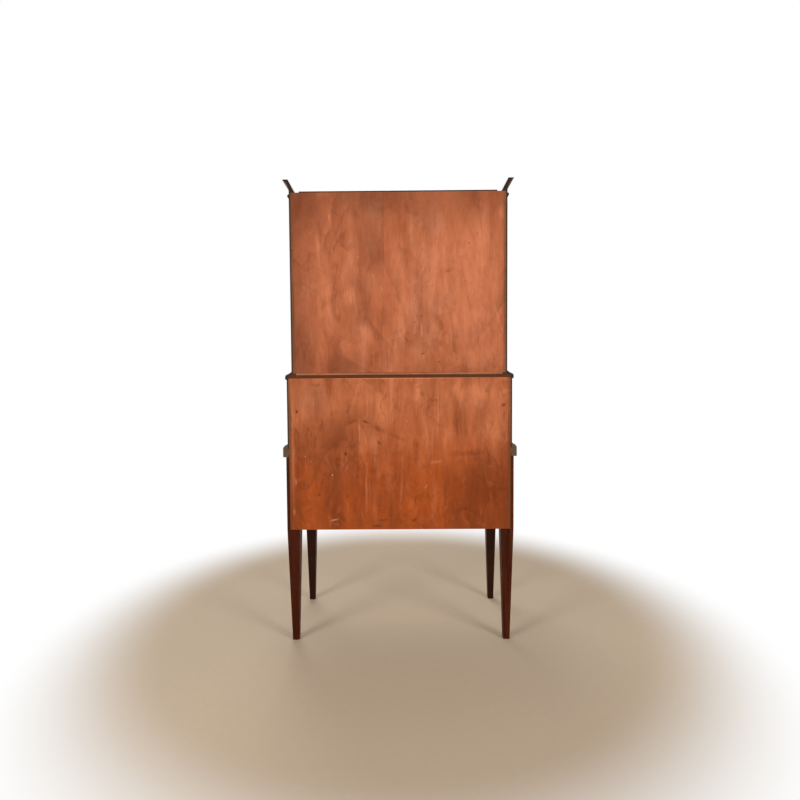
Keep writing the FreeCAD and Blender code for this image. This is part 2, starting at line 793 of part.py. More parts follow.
def pigeonhole(bay, index):
    """The left and right walls of one pigeonhole."""
    low, high = BAYS[bay]
    clear = f"((({high}) - ({low})) - {HOLES_PER_BAY - 1} * partition_thickness) / {HOLES_PER_BAY}"
    start = f"({low}) + {index} * ({clear} + partition_thickness)"
    return start, f"{start} + {clear}"


def gallery_dividers():
    depth = ("gallery_front", "panel_front")
    upper = ("gallery_low", "waist_low")
    pieces = [block("gallery_shelf", across("stage_inner"), depth, ("small_tier_top", "gallery_low"))]
    for side in SIDES:
        x = beside(side, "small_centre_inner", "small_centre_outer")
        pieces.append(block(f"drawer_divider_{side}", x, depth, ("stage_low", "small_tier_top")))
        pieces.append(block(f"bay_divider_{side}", x, depth, upper))
    for bay in BAYS:
        for index in range(HOLES_PER_BAY - 1):
            wall = pigeonhole(bay, index)[1]
            x = (wall, f"{wall} + partition_thickness")
            pieces.append(block(f"partition_{bay}_{index}", x, depth, upper))
    return pieces


def valance(bay, index):
    """A thin board across the head of a pigeonhole, cut to an arch."""
    low, high = pigeonhole(bay, index)
    y = ("gallery_front + valance_recess", "gallery_front + valance_recess + valance_thickness")
    board = block(f"valance_board_{bay}_{index}", (low, high), y, ("waist_low - valance_height", "waist_low"))
    middle = f"(({low}) + ({high})) / 2"
    centre_z = "waist_low - valance_crown - valance_radius"
    arch = rod(f"valance_arch_{bay}_{index}", "valance_radius", "valance_thickness", middle, y[1], centre_z,
               TOWARDS_FRONT)
    return cut(f"valance_{bay}_{index}", board, arch)


publish("gallery_dividers", *gallery_dividers())
publish("gallery_valances", *(valance(bay, index) for bay in BAYS for index in range(HOLES_PER_BAY)))


# Waist board with a rounded nose on its front and sides
def nosed_board(name):
    body = doc.addObject("PartDesign::Body", name)
    sketch = body.newObject("Sketcher::SketchObject", f"{name}_outline")
    plane = next(item for item in body.Origin.OriginFeatures if item.Role == "XY_Plane")
    sketch.AttachmentSupport = [(plane, "")]
    sketch.MapMode = "FlatFace"
    corners = (("-half_waist", "waist_front"), ("half_waist", "waist_front"), ("half_waist", "back_y"),
               ("-half_waist", "back_y"))
    draw_outline(sketch, corners)
    pad = body.newObject("PartDesign::Pad", f"{name}_pad")
    pad.Profile = sketch
    bind(pad, "Length", "waist_thickness")
    doc.recompute()
    back = value("back_y")
    thickness = value("waist_thickness")
    nose = []
    for number, edge in enumerate(pad.Shape.Edges, 1):
        middle = edge.CenterOfMass
        level = min(middle.z, thickness - middle.z) < 0.01
        if level and middle.y < back - 0.01:
            nose.append(f"Edge{number}")
    fillet = body.newObject("PartDesign::Fillet", f"{name}_nose")
    fillet.Base = (pad, nose)
    bind(fillet, "Radius", "waist_nose_radius")
    return put(body, 0, 0, "waist_low")


waist_notch = block("waist_notch", notch_x, panel_y, ("waist_low", "lower_panel_top"))
publish("waist_board", cut("waist_cut", nosed_board("waist_slab"), waist_notch))

waist_edge = ("waist_moulding_reach", "waist_moulding_edge")
waist_crest = ("0", "waist_moulding_height")
waist_profile = (
    ("0", "0"),
    ("waist_moulding_reach", "0"),
    (*waist_edge, bowed(waist_edge, waist_crest, "waist_moulding_hollow")),
    waist_crest,
)
publish("waist_moulding", *mitred_moulding(
    "waist_moulding_length", waist_profile, "waist_moulding_reach", "waist_moulding_height", "half_bookcase",
    "bookcase_front", "waist_top"))

lower_panel = block("lower_panel", notch_x, panel_y, ("leg_height", "lower_panel_top"))
publish("lower_back_panel", drilled(lower_panel))

# Bookcase
SHELF_RISES = ("first_shelf_rise", "second_shelf_rise")
shelf_y = ("door_back + shelf_front_clearance", "panel_front - shelf_gap")
shelf_pins = []
shelf_pin_holes = []
pin_rows = (f"{shelf_y[0]} + shelf_pin_setback", f"{shelf_y[1]} - shelf_pin_setback")
pin_end = "bookcase_inner + shelf_pin_depth"
for hand in SIDES:
    pin_x = beside(hand, f"{pin_end} - shelf_pin_length", pin_end)[0]
    hole_x = beside(hand, "bookcase_inner", pin_end)[0]
    for level, rise in enumerate(SHELF_RISES):
        pin_z = f"bookcase_floor + {rise} - shelf_pin_radius"
        for row, pin_y in enumerate(pin_rows):
            name = f"shelf_pin_{hand}_{level}_{row}"
            bore = "shelf_pin_radius + shelf_pin_fit"
            shelf_pins.append(rod(name, "shelf_pin_radius", "shelf_pin_length", pin_x, pin_y, pin_z, ALONG_X))
            hole = rod(f"{name}_hole", bore, "shelf_pin_depth", hole_x, pin_y, pin_z, ALONG_X)
            shelf_pin_holes.append(hole)

door_hinge_z = ("door_low + door_hinge_inset", "door_top - door_hinge_inset")
door_fixed_halves = []
door_moving_halves = {}
side_mortises = {}
door_mortises = {}
leaf_y = ("bookcase_front", "door_axis_y + door_leaf_width")
for hand in SIDES:
    door_moving_halves[hand] = []
    side_mortises[hand] = []
    door_mortises[hand] = []
    turn = None if hand == "right" else Rotation(Vector(0, 1, 0), 180)
    for index, hinge_z in enumerate(door_hinge_z):
        fixed_half, moving_half = hinge_halves(f"door_hinge_{hand}_{index}", "door", "door_gap")
        for half_item, halves in ((fixed_half, door_fixed_halves), (moving_half, door_moving_halves[hand])):
            halves.append(put(half_item, signed(hand, "door_axis_x"), "door_axis_y", hinge_z, turn))
        leaf_z = (f"{hinge_z} - door_leaf_length / 2", f"{hinge_z} + door_leaf_length / 2")
        side_x = beside(hand, "bookcase_inner", "bookcase_inner + door_leaf_thickness")
        side_mortises[hand].append(block(f"side_mortise_{hand}_{index}", side_x, leaf_y, leaf_z))
        edge_x = beside(hand, "door_outer - door_leaf_thickness", "door_outer")
        door_mortises[hand].append(block(f"door_mortise_{hand}_{index}", edge_x, leaf_y, leaf_z))
publish("door_hinge_plates", *door_fixed_halves)

upper_panel_z = ("upper_panel_low", "bookcase_roof")
panel_notch = block("upper_panel_notch", across("upper_panel_half"), panel_y, upper_panel_z)
shelf_holes = grouped("shelf_holes", shelf_pin_holes)
for hand in SIDES:
    side_x = beside(hand, "bookcase_inner", "half_bookcase")
    side_z = ("waist_top", "bookcase_roof")
    side_board = block(f"bookcase_board_{hand}", side_x, ("bookcase_front", "back_y"), side_z)
    side_cut = cut(f"bookcase_side_{hand}_cut", side_board, panel_notch, *side_mortises[hand])
    side_bored = cut(f"bookcase_side_{hand}_bored", side_cut, shelf_holes)
    publish(f"bookcase_side_{hand}", drilled(side_bored))

floor_slab = block("bookcase_floor_slab", across("bookcase_inner"), ("bookcase_front", "back_y"),
                   ("waist_top", "bookcase_floor"))
publish("bookcase_floor", cut("bookcase_floor_cut", floor_slab, panel_notch))
roof_slab = block("bookcase_roof_slab", across("bookcase_inner"), ("bookcase_front", "panel_front"),
                  ("bookcase_roof - bookcase_top_thickness", "bookcase_roof"))
publish("bookcase_top", drilled(roof_slab))
publish("bookcase_frieze", block("frieze", across("bookcase_inner"), ("bookcase_front", "door_back"),
                                 ("frieze_low", "bookcase_roof - bookcase_top_thickness")))
publish("bookcase_shelves", *(
    block(f"shelf_{level}", across("bookcase_inner - shelf_gap"), shelf_y,
          (f"bookcase_floor + {rise}", f"bookcase_floor + {rise} + shelf_thickness"))
    for level, rise in enumerate(SHELF_RISES)
))
publish("shelf_pins", *shelf_pins)
upper_panel = block("upper_panel", across("upper_panel_half"), panel_y, upper_panel_z)
publish("upper_back_panel", drilled(upper_panel))
publish("dust_board", block("dust_board_slab", across("half_bookcase - dust_board_inset"),
                            ("bookcase_front + dust_board_inset", "back_y - dust_board_setback"),
                            ("bookcase_roof", "bookcase_roof + dust_board_thickness")))
publish("panel_pins", *pins)

# Cornice: a sprung cove on top of the case, over a bead on its sides and front
cove_foot = ("0", "cornice_neck")
cove_tip = ("cornice_reach", "cornice_height")
cove_profile = (
    ("-cornice_foot", "0"),
    ("0", "0"),
    (*cove_foot, bowed(cove_foot, cove_tip, "cornice_hollow")),
    cove_tip,
    ("cornice_reach - cornice_lip", "cornice_height"),
)
bead_profile = (
    ("0", "0", ("bead_reach", "bead_height / 2")),
    ("0", "bead_height"),
)
coves = mitred_moulding("cornice_cove", cove_profile, "cornice_reach", "cornice_height", "half_bookcase",
                        "bookcase_front", "bookcase_roof")
bead_low = "bookcase_roof - bead_drop - bead_height"
beads = mitred_moulding("cornice_bead", bead_profile, "bead_reach", "bead_height", "half_bookcase",
                        "bookcase_front", bead_low)
publish("cornice", *coves, *beads)


# Glazed doors
def door_frame(side):
    """Stiles, rails and glazing beads round one sheet of glass, with a lattice of bars in front of it."""
    depth = ("bookcase_front", "door_back")
    height = ("door_low", "door_top")
    stile_x = (("door_gap", "sight_inner"), ("sight_outer", "door_outer"))
    rebate = block(f"door_rebate_{side}", beside(side, "sight_inner - glass_lap", "sight_outer + glass_lap"),
                   ("glass_front", "door_back"), ("sight_low - glass_lap", "sight_top + glass_lap"))
    hanging_bar = block(f"hanging_stile_{side}_bar", beside(side, *stile_x[1]), depth, height)
    rail_x = beside(side, "sight_inner", "sight_outer")
    members = [
        block(f"meeting_stile_{side}", beside(side, *stile_x[0]), depth, height),
        cut(f"hanging_stile_{side}", hanging_bar, *door_mortises[side]),
        block(f"bottom_door_rail_{side}", rail_x, depth, ("door_low", "sight_low")),
        block(f"top_door_rail_{side}", rail_x, depth, ("sight_top", "door_top")),
    ]
    return [cut(f"{member.Name}_rebated", member, rebate) for member in members]


def glass_beads(side):
    """Four strips behind the glass that hold it in its rebate."""
    depth = ("glass_front + glass_thickness", "door_back")
    outer_x = ("sight_inner - glass_lap", "sight_outer + glass_lap")
    upright_z = ("sight_low - glass_lap", "sight_top + glass_lap")
    level_x = beside(side, "sight_inner", "sight_outer")
    return [
        block(f"inner_glass_bead_{side}", beside(side, outer_x[0], "sight_inner"), depth, upright_z),
        block(f"outer_glass_bead_{side}", beside(side, "sight_outer", outer_x[1]), depth, upright_z),
        block(f"low_glass_bead_{side}", level_x, depth, (upright_z[0], "sight_low")),
        block(f"high_glass_bead_{side}", level_x, depth, ("sight_top", upright_z[1])),
    ]


def glazing_bar(name, start, end):
    """A square bar between two points of the door's face, long enough to meet its neighbours at the ends."""
    (x1, z1), (x2, z2) = start, end
    run = f"sqrt((({x2}) - ({x1}))^2 + (({z2}) - ({z1}))^2)"
    bar = doc.addObject("Part::Box", name)
    bind(bar, "Length", f"{run} + bar_width")
    bind(bar, "Width", "bar_depth")
    bind(bar, "Height", "bar_width")
    bar.Placement = FreeCAD.Placement(Vector(), Rotation(Vector(0, -1, 0), 1))
    angle = f"atan2(({z2}) - ({z1}); ({x2}) - ({x1}))"
    bind(bar, "Placement.Rotation.Angle", angle)
    along_x, along_z = f"(({x2}) - ({x1})) / {run}", f"(({z2}) - ({z1})) / {run}"
    bind(bar, "Placement.Base.x", f"({x1}) - bar_width / 2 * ({along_x}) + bar_width / 2 * ({along_z})")
    bind(bar, "Placement.Base.y", "glass_front - bar_depth")
    bind(bar, "Placement.Base.z", f"({z1}) - bar_width / 2 * ({along_z}) - bar_width / 2 * ({along_x})")
    return bar


def door_lattice(side):
    """A tall six-sided light in the middle of the door, held by bars that run out to the frame."""
    middle_x = signed(side, "(sight_inner + sight_outer) / 2")
    middle_z = "(sight_low + sight_top) / 2"
    left_x, right_x = f"{middle_x} - bar_waist_width / 2", f"{middle_x} + bar_waist_width / 2"
    frame_left, frame_right = beside(side, "sight_inner", "sight_outer")
    low_z, high_z = f"{middle_z} - bar_middle_height / 2", f"{middle_z} + bar_middle_height / 2"
    foot, crest = f"{low_z} - bar_point_height", f"{high_z} + bar_point_height"
    spans = (
        ((left_x, low_z), (left_x, high_z)), ((right_x, low_z), (right_x, high_z)),
        ((left_x, high_z), (middle_x, crest)), ((middle_x, crest), (right_x, high_z)),
        ((left_x, low_z), (middle_x, foot)), ((middle_x, foot), (right_x, low_z)),
        ((middle_x, crest), (middle_x, "sight_top")), ((middle_x, "sight_low"), (middle_x, foot)),
        ((frame_left, high_z), (left_x, high_z)), ((frame_left, low_z), (left_x, low_z)),
        ((right_x, high_z), (frame_right, high_z)), ((right_x, low_z), (frame_right, low_z)),
    )
    bars = [glazing_bar(f"bar_{side}_{index}", *span) for index, span in enumerate(spans)]
    sight = block(f"sight_{side}", (frame_left, frame_right), ("bookcase_front", "glass_front"),
                  ("sight_low", "sight_top"))
    return common(f"lattice_{side}", joined(f"bars_{side}", *bars), sight)


for hand in SIDES:
    publish(f"door_{hand}_frame", *door_frame(hand), *glass_beads(hand), door_lattice(hand))
    edge = "glass_lap - glass_fit"
    publish(f"door_{hand}_glass", block(
        f"glass_{hand}", beside(hand, f"sight_inner - ({edge})", f"sight_outer + {edge}"),
        ("glass_front", "glass_front + glass_thickness"), (f"sight_low - ({edge})", f"sight_top + {edge}")))
    door_knob = knob(f"door_{hand}_knob", signed(hand, "door_gap + door_stile / 2"), "bookcase_front",
                     "door_low + door_knob_height")
    publish(f"door_{hand}_brass", *door_moving_halves[hand], door_knob)


# Drawers
def drawer_box(name, x, face, low, top, kind):
    """Sides, back and bottom of a drawer behind its front, all as separate boards."""
    x_low, x_high = x
    front_back = f"{face} + {kind}_front_thickness"
    side, drop = f"{kind}_side_thickness", f"{kind}_side_drop"
    inner_x = (f"({x_low}) + {side}", f"({x_high}) - {side}")
    back_end = f"panel_front - {kind}_back_gap"
    side_y = (front_back, back_end)
    side_z = (low, f"({top}) - {drop}")
    bottom_z = (f"({low}) + {kind}_bottom_rise", f"({low}) + {kind}_bottom_rise + {kind}_bottom_thickness")
    return [
        block(f"{name}_left_side", (x_low, inner_x[0]), side_y, side_z),
        block(f"{name}_right_side", (inner_x[1], x_high), side_y, side_z),
        block(f"{name}_back", inner_x, (f"{back_end} - {side}", back_end), side_z),
        block(f"{name}_bottom", inner_x, (front_back, f"{back_end} - {side}"), bottom_z),
    ]


def pull_post(name, x, z):
    """A turned post with a ball, bored through for the end of the bail."""
    ball_start = "bail_reach - sqrt(post_ball_radius^2 - post_neck_radius^2)"
    corners = (
        ("0", "plate_thickness"),
        ("post_flange_radius", "plate_thickness"),
        ("post_flange_radius", "plate_thickness + post_flange_height"),
        ("post_neck_radius", "plate_thickness + 2 * post_flange_height"),
        ("post_neck_radius", ball_start, ("post_ball_radius", "bail_reach")),
        ("0", "bail_reach + post_ball_radius"),
    )
    post = put(turned(f"{name}_turned", corners), x, "front_y", z, TOWARDS_FRONT)
    bore_radius, bore_length = "bail_radius + bail_fit", "2 * post_ball_radius"
    bore_x, bore_y = f"({x}) - post_ball_radius", "front_y - bail_reach"
    bore = rod(f"{name}_bore", bore_radius, bore_length, bore_x, bore_y, z, ALONG_X)
    return cut(name, post, bore)


def bail_wire():
    """The line of a bail that hangs from the origin: in at the posts, down, and round along the bottom."""
    spread = value("bail_half_width")
    drop = value("bail_drop")
    corners = [
        Vector(-value("post_spacing / 2"), 0, 0), Vector(-spread, 0, 0), Vector(-spread, 0, -drop),
        Vector(spread, 0, -drop), Vector(spread, 0, 0), Vector(value("post_spacing / 2"), 0, 0),
    ]
    top_bend, bottom_bend = value("bail_top_bend"), value("bail_bottom_bend")
    bends = (top_bend, bottom_bend, bottom_bend, top_bend)
    edges = []
    here = corners[0]
    for before, corner, after, bend in zip(corners, corners[1:], corners[2:], bends):
        into = (corner - before).normalize()
        out = (after - corner).normalize()
        start = corner - into * bend
        end = corner + out * bend
        centre = start + out * bend
        middle = centre + (corner - centre).normalize() * bend
        edges.append(Part.makeLine(here, start))
        edges.append(Part.Arc(start, middle, end).toShape())
        here = end
    edges.append(Part.makeLine(here, corners[-1]))
    return Part.Wire(edges)


def bail(name, x, z):
    """A round bar bent to the bail's line, free to turn in the bores of its two posts."""
    wire = bail_wire()
    start = wire.Vertexes[0].Point
    section = Part.Wire([Part.makeCircle(value("bail_radius"), start, Vector(1, 0, 0))])
    item = doc.addObject("Part::Feature", name)
    item.Shape = wire.makePipeShell([section], True, False)
    return put(item, x, "front_y - bail_reach", z)


def keyhole_plate(name, x, z):
    plate, upright = oval_plate(f"{name}_plate", "keyhole_plate_width", "keyhole_plate_height")
    put(plate, x, "front_y", z, upright)
    hole = rod(f"{name}_hole", "keyhole_radius", "plate_thickness", x, "front_y", z, TOWARDS_FRONT)
    return cut(name, plate, hole)


def cock_beads(name, half, low, top):
    """Four thin strips that stand proud along the edges of a drawer front."""
    proud = ("front_y - cock_bead_reach", "front_y")
    inner = f"{half} - cock_bead_width"
    low_edge, high_edge = f"{low} + cock_bead_width", f"{top} - cock_bead_width"
    return [
        block(f"{name}_low_bead", across(half), proud, (low, low_edge)),
        block(f"{name}_high_bead", across(half), proud, (high_edge, top)),
        block(f"{name}_left_bead", beside("left", inner, half), proud, (low_edge, high_edge)),
        block(f"{name}_right_bead", beside("right", inner, half), proud, (low_edge, high_edge)),
    ]


def long_drawer(tier, half, low, top, offset):
    x = across(half)
    front_z = (low, top)
    front_back = "front_y + drawer_front_thickness"
    front = block(f"{tier}_front", x, ("front_y", front_back), front_z)
    publish(f"{tier}_drawer_front", front, *cock_beads(tier, half, low, top))
    run_low = f"({low}) - drawer_gap + drawer_slip"
    publish(f"{tier}_drawer_box", *drawer_box(f"{tier}_drawer", x, "front_y", run_low, top, "drawer"))
    middle_z = f"(({low}) + ({top})) / 2"
    brass = [keyhole_plate(f"{tier}_keyhole", "0", middle_z)]
    for side in SIDES:
        pull_x = signed(side, offset)
        plate, upright = oval_plate(f"{tier}_{side}_plate", "plate_width", "plate_height")
        brass.append(put(plate, pull_x, "front_y", middle_z, upright))
        post_z = f"{middle_z} + post_rise"
        for end, shift in (("inner", "-post_spacing / 2"), ("outer", "post_spacing / 2")):
            brass.append(pull_post(f"{tier}_{side}_{end}_post", f"{pull_x} + {signed(side, shift)}", post_z))
        publish(f"{tier}_bail_{side}", bail(f"{tier}_{side}_bail", pull_x, post_z))
    publish(f"{tier}_drawer_pulls", *brass)


long_drawer("upper", "cheek_inner - drawer_gap", "upper_drawer_low", "upper_drawer_top", "upper_pull_offset")
long_drawer("lower", "post_inner - drawer_gap", "lower_drawer_low", "lower_drawer_top", "lower_pull_offset")

for bay, (bay_low, bay_high) in BAYS.items():
    small_x = (f"({bay_low}) + small_gap", f"({bay_high}) - small_gap")
    small_z = ("stage_low + small_slip", "small_tier_top - small_gap")
    front_back = "gallery_front + small_front_thickness"
    front = block(f"small_{bay}_front", small_x, ("gallery_front", front_back), small_z)
    box = drawer_box(f"small_{bay}", small_x, "gallery_front", *small_z, "small")
    publish(f"small_drawer_{bay}", front, *box)
    knob_x, knob_z = f"(({bay_low}) + ({bay_high})) / 2", "stage_low + small_tier_height / 2"
    publish(f"small_knob_{bay}", knob(f"small_{bay}_knob", knob_x, "gallery_front", knob_z))

# Check every piece, then write one file for each
doc.recompute()
failed = [item.Name for item in doc.Objects if {"Invalid", "Error"} & set(item.State)]
if failed:
    raise RuntimeError(f"these could not be made: {failed}")
for node, item in nodes.items():
    if item.Shape.isNull() or not item.Shape.isValid() or not item.Shape.Solids:
        raise RuntimeError(f"{node} is not a sound solid")
os.makedirs("parts", exist_ok=True)
for node, item in nodes.items():
    item.Shape.exportStep(f"parts/{node}.step")
print(len(nodes), "parts")
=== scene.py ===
"""Looks of the escritoire: the finish of every CAD piece, the small fasteners, the studio and the camera.

Metres, in the CAD frame: +Z up, the front towards -Y, the back panels towards +Y and the left at -X.
"""
import math
import random

import bmesh
import bpy
from mathutils import Matrix, Vector


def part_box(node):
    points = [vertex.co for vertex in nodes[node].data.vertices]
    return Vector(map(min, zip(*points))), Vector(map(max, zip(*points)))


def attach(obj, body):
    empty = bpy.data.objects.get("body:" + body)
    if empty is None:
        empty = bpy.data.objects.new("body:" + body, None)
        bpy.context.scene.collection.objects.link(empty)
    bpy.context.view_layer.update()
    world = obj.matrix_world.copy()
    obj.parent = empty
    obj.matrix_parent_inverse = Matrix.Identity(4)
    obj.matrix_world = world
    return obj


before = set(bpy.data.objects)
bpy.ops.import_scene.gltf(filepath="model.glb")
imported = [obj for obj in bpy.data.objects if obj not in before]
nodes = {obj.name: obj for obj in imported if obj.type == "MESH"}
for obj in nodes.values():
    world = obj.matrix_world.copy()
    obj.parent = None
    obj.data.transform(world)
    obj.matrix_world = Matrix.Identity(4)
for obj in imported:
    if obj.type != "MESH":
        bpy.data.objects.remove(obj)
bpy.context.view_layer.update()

MM = 0.001


# Boards: where the grain runs, and soft edges

# Vertices that agree to this many digits of a metre are in one place
PLACE_DIGITS = 6
# How far from the middle of the log a board may be cut, in metres
LOG_REACH = 3.0


def solids_of(mesh):
    """The polygons of each closed solid in a node: a solid ends where none of its edges is left open."""
    places, corner = {}, []
    for vertex in mesh.vertices:
        place = tuple(round(c, PLACE_DIGITS) for c in vertex.co)
        corner.append(places.setdefault(place, vertex.index))
    solids, polygons, open_edges = [], [], set()
    for polygon in mesh.polygons:
        polygons.append(polygon)
        ring = [corner[index] for index in polygon.vertices]
        for edge in zip(ring, ring[1:] + ring[:1]):
            open_edges ^= {tuple(sorted(edge))}
        if not open_edges:
            solids.append(polygons)
            polygons = []
    return solids + [polygons] if polygons else solids


def mark_boards(piece):
    """Gives each solid of a piece a number, the direction of its grain and its own place in the log."""
    mesh = piece.data
    number = mesh.attributes.new("solid", "FLOAT", "POINT")
    grain = mesh.attributes.new("grain", "FLOAT_VECTOR", "FACE")
    board = mesh.attributes.new("board", "FLOAT_VECTOR", "FACE")
    chance = random.Random(piece.name)
    solids = solids_of(mesh)
    for index, polygons in enumerate(solids):
        corners = [mesh.vertices[i].co for polygon in polygons for i in polygon.vertices]
        spans = [max(c[k] for c in corners) - min(c[k] for c in corners) for k in range(3)]
        along = Vector([float(k == spans.index(max(spans))) for k in range(3)])
        place = [chance.uniform(-LOG_REACH, LOG_REACH) for _ in range(3)]
        for polygon in polygons:
            grain.data[polygon.index].vector = along
            board.data[polygon.index].vector = place
            for i in polygon.vertices:
                number.data[i].value = index
    return solids


# How far each next solid is shifted while vertices are joined, and how close those have to be
WELD_SHIFT = (0.17 * MM, 0.23 * MM, 0.29 * MM)
WELD_REACH = 0.002 * MM


def weld_nodes():
    """Joins the split vertices of each solid, while a small shift keeps touching solids apart."""
    group = bpy.data.node_groups.new("weld_each_solid", "GeometryNodeTree")
    for way in ("INPUT", "OUTPUT"):
        group.interface.new_socket("Geometry", in_out=way, socket_type="NodeSocketGeometry")
    start = group.nodes.new("NodeGroupInput").outputs[0]
    end = group.nodes.new("NodeGroupOutput").inputs[0]
    number = group.nodes.new("GeometryNodeInputNamedAttribute")
    number.inputs["Name"].default_value = "solid"
    shifts = []
    for sign in (1, -1):
        scaled = group.nodes.new("ShaderNodeVectorMath")
        scaled.operation = "SCALE"
        scaled.inputs[0].default_value = [sign * part for part in WELD_SHIFT]
        group.links.new(number.outputs["Attribute"], scaled.inputs["Scale"])
        shift = group.nodes.new("GeometryNodeSetPosition")
        group.links.new(scaled.outputs["Vector"], shift.inputs["Offset"])
        shifts.append(shift)
    weld = group.nodes.new("GeometryNodeMergeByDistance")
    weld.inputs["Distance"].default_value = WELD_REACH
    group.links.new(start, shifts[0].inputs["Geometry"])
    group.links.new(shifts[0].outputs[0], weld.inputs["Geometry"])
    group.links.new(weld.outputs[0], shifts[1].inputs["Geometry"])
    group.links.new(shifts[1].outputs[0], end)
    return group


WELD = weld_nodes()
FLAT_ANGLE = math.radians(0.5)
SHARP_ANGLE = math.radians(40)
EDGE_SEGMENTS = 2
NORMAL_WEIGHT = 80


def soften(piece, width):
    """Rounds the sharp edges of a piece, on faces cleared of the lines across them."""
    piece.modifiers.new("weld", "NODES").node_group = WELD
    clear = piece.modifiers.new("clear", "DECIMATE")
    clear.decimate_type = "DISSOLVE"
    clear.angle_limit = FLAT_ANGLE
    edges = piece.modifiers.new("edges", "BEVEL")
    edges.width = width
    edges.segments = EDGE_SEGMENTS
    edges.limit_method = "ANGLE"
    edges.angle_limit = SHARP_ANGLE
    piece.data.shade_smooth()
    normals = piece.modifiers.new("normals", "WEIGHTED_NORMAL")
    normals.weight = NORMAL_WEIGHT


# Paint
def tone(red, green, blue):
    """A colour from 0 to 255 as seen, in the units that shaders take."""
    shares = [value / 255 for value in (red, green, blue)]
    return [s / 12.92 if s <= 0.04045 else ((s + 0.055) / 1.055) ** 2.4 for s in shares] + [1.0]


def shaded(colour, share):
    """A colour from 0 to 255 made darker or paler by a share, in the units that shaders take."""
    return tone(*[min(share * value, 255) for value in colour])


# Edges that show wear: rays for each point, and the cosines between which a bend counts
EDGE_SAMPLES = 4
EDGE_BEND = (0.99, 0.8)


class Paint:
    """The nodes of one material. Most methods add a node and give the socket that carries its result."""

    def __init__(self, name):
        self.material = bpy.data.materials.new(name)
        self.material.use_nodes = True
        self.tree = self.material.node_tree
        self.shader = self.tree.nodes["Principled BSDF"]
        coordinates = self.add("ShaderNodeTexCoord").outputs
        self.place, self.normal = coordinates["Object"], coordinates["Normal"]

    def feed(self, socket, content):
        if isinstance(content, bpy.types.NodeSocket):
            self.tree.links.new(content, socket)
        else:
            socket.default_value = content

    def add(self, kind, *inputs, **settings):
        node = self.tree.nodes.new(kind)
        for name, setting in settings.items():
            setattr(node, name, setting)
        for socket, content in zip(node.inputs, inputs):
            self.feed(socket, content)
        return node

    def math(self, operation, *values):
        return self.add("ShaderNodeMath", *values, operation=operation).outputs[0]

    def vector(self, operation, *values):
        node = self.add("ShaderNodeVectorMath", *values, operation=operation)
        return node.outputs["Value" if operation in ("DOT_PRODUCT", "LENGTH") else "Vector"]

    def scaled(self, vector, share):
        node = self.add("ShaderNodeVectorMath", vector, operation="SCALE")
        self.feed(node.inputs["Scale"], share)
        return node.outputs["Vector"]

    def attribute(self, name):
        return self.add("ShaderNodeAttribute", attribute_name=name).outputs["Vector"]

    def parts(self, vector):
        return self.add("ShaderNodeSeparateXYZ", vector).outputs

    def step(self, value, low, high, start=0.0, end=1.0):
        """Smoothly from start at low to end at high."""
        node = self.add("ShaderNodeMapRange", value, low, high, start, end, interpolation_type="SMOOTHSTEP")
        return node.outputs["Result"]

    def noise(self, where, scale, detail=2.0, roughness=0.5, distortion=0.0, output="Fac"):
        node = self.add("ShaderNodeTexNoise", where)
        for name, content in (("Scale", scale), ("Detail", detail), ("Roughness", roughness),
                              ("Distortion", distortion)):
            self.feed(node.inputs[name], content)
        return node.outputs[output]

    def mix(self, share, under, over):
        node = self.add("ShaderNodeMix", data_type="RGBA")
        for index, content in ((0, share), (6, under), (7, over)):
            self.feed(node.inputs[index], content)
        return node.outputs[2]

    def edges(self, reach):
        """1 at sharp edges and 0 on flat faces, within that reach."""
        bent = self.add("ShaderNodeBevel", reach, samples=EDGE_SAMPLES).outputs[0]
        straight = self.add("ShaderNodeNewGeometry").outputs["Normal"]
        return self.step(self.vector("DOT_PRODUCT", bent, straight), *EDGE_BEND)

    def finish(self, colour, roughness, height=None, depth=0.0, **constants):
        self.feed(self.shader.inputs["Base Color"], colour)
        self.feed(self.shader.inputs["Roughness"], roughness)
        for name, content in constants.items():
            self.shader.inputs[name.replace("_", " ")].default_value = content
        if height:
            bump = self.add("ShaderNodeBump")
            self.feed(bump.inputs["Strength"], 1.0)
            self.feed(bump.inputs["Distance"], depth)
            self.feed(bump.inputs["Height"], height)
            self.feed(self.shader.inputs["Normal"], bump.outputs[0])
        return self.material


# Woods
GRAIN_STRETCH = 0.07
GRAIN_DEPTH = 0.045 * MM
PORE_SHARE, PORE_SHADE = 0.55, 0.55
RUB_REACH = 1.6 * MM
COAT_ROUGHNESS = 0.3
END_TONE = tone(46, 40, 33)
END_BLUR = 4 * MM
DRY_ROUGHNESS = 0.7


def log_place(paint):
    """A place in the log that a board was cut from, drawn out along the grain."""
    grain = paint.attribute("grain")
    lengthwise = paint.scaled(grain, paint.vector("DOT_PRODUCT", paint.place, grain))
    across = paint.vector("SUBTRACT", paint.place, lengthwise)
    drawn = paint.vector("ADD", across, paint.scaled(lengthwise, GRAIN_STRETCH))
    return paint.vector("ADD", drawn, paint.attribute("board"))


def tone_back_faces(paint, colour, roughness, dull, behind, ends):
    """Gives faces towards the back the tone behind, and the dull finish of wood that was never polished.

    That tone is painted shade on the front legs, and on the bookcase floor its stain made paler by a
    painted highlight. ends is how far from the middle they darken.
    """
    rearward = paint.step(paint.parts(paint.normal)["Y"], 0.75, 0.95)
    # Share of the tone behind: painted shade on the front legs, and partly a painted highlight on the
    # bookcase floor
    back_share = paint.math("MULTIPLY", rearward, paint.step(dull, 0.2, 0.8, 0.6, 0.95))
    back_tone = tone(*behind)
    if ends:
        far = paint.step(paint.math("ABSOLUTE", paint.parts(paint.place)["X"]), ends - END_BLUR, ends)
        back_tone = paint.mix(far, back_tone, END_TONE)
    dry = paint.math("MULTIPLY", rearward, DRY_ROUGHNESS)
    return paint.mix(back_share, colour, back_tone), paint.math("MAXIMUM", roughness, dry)


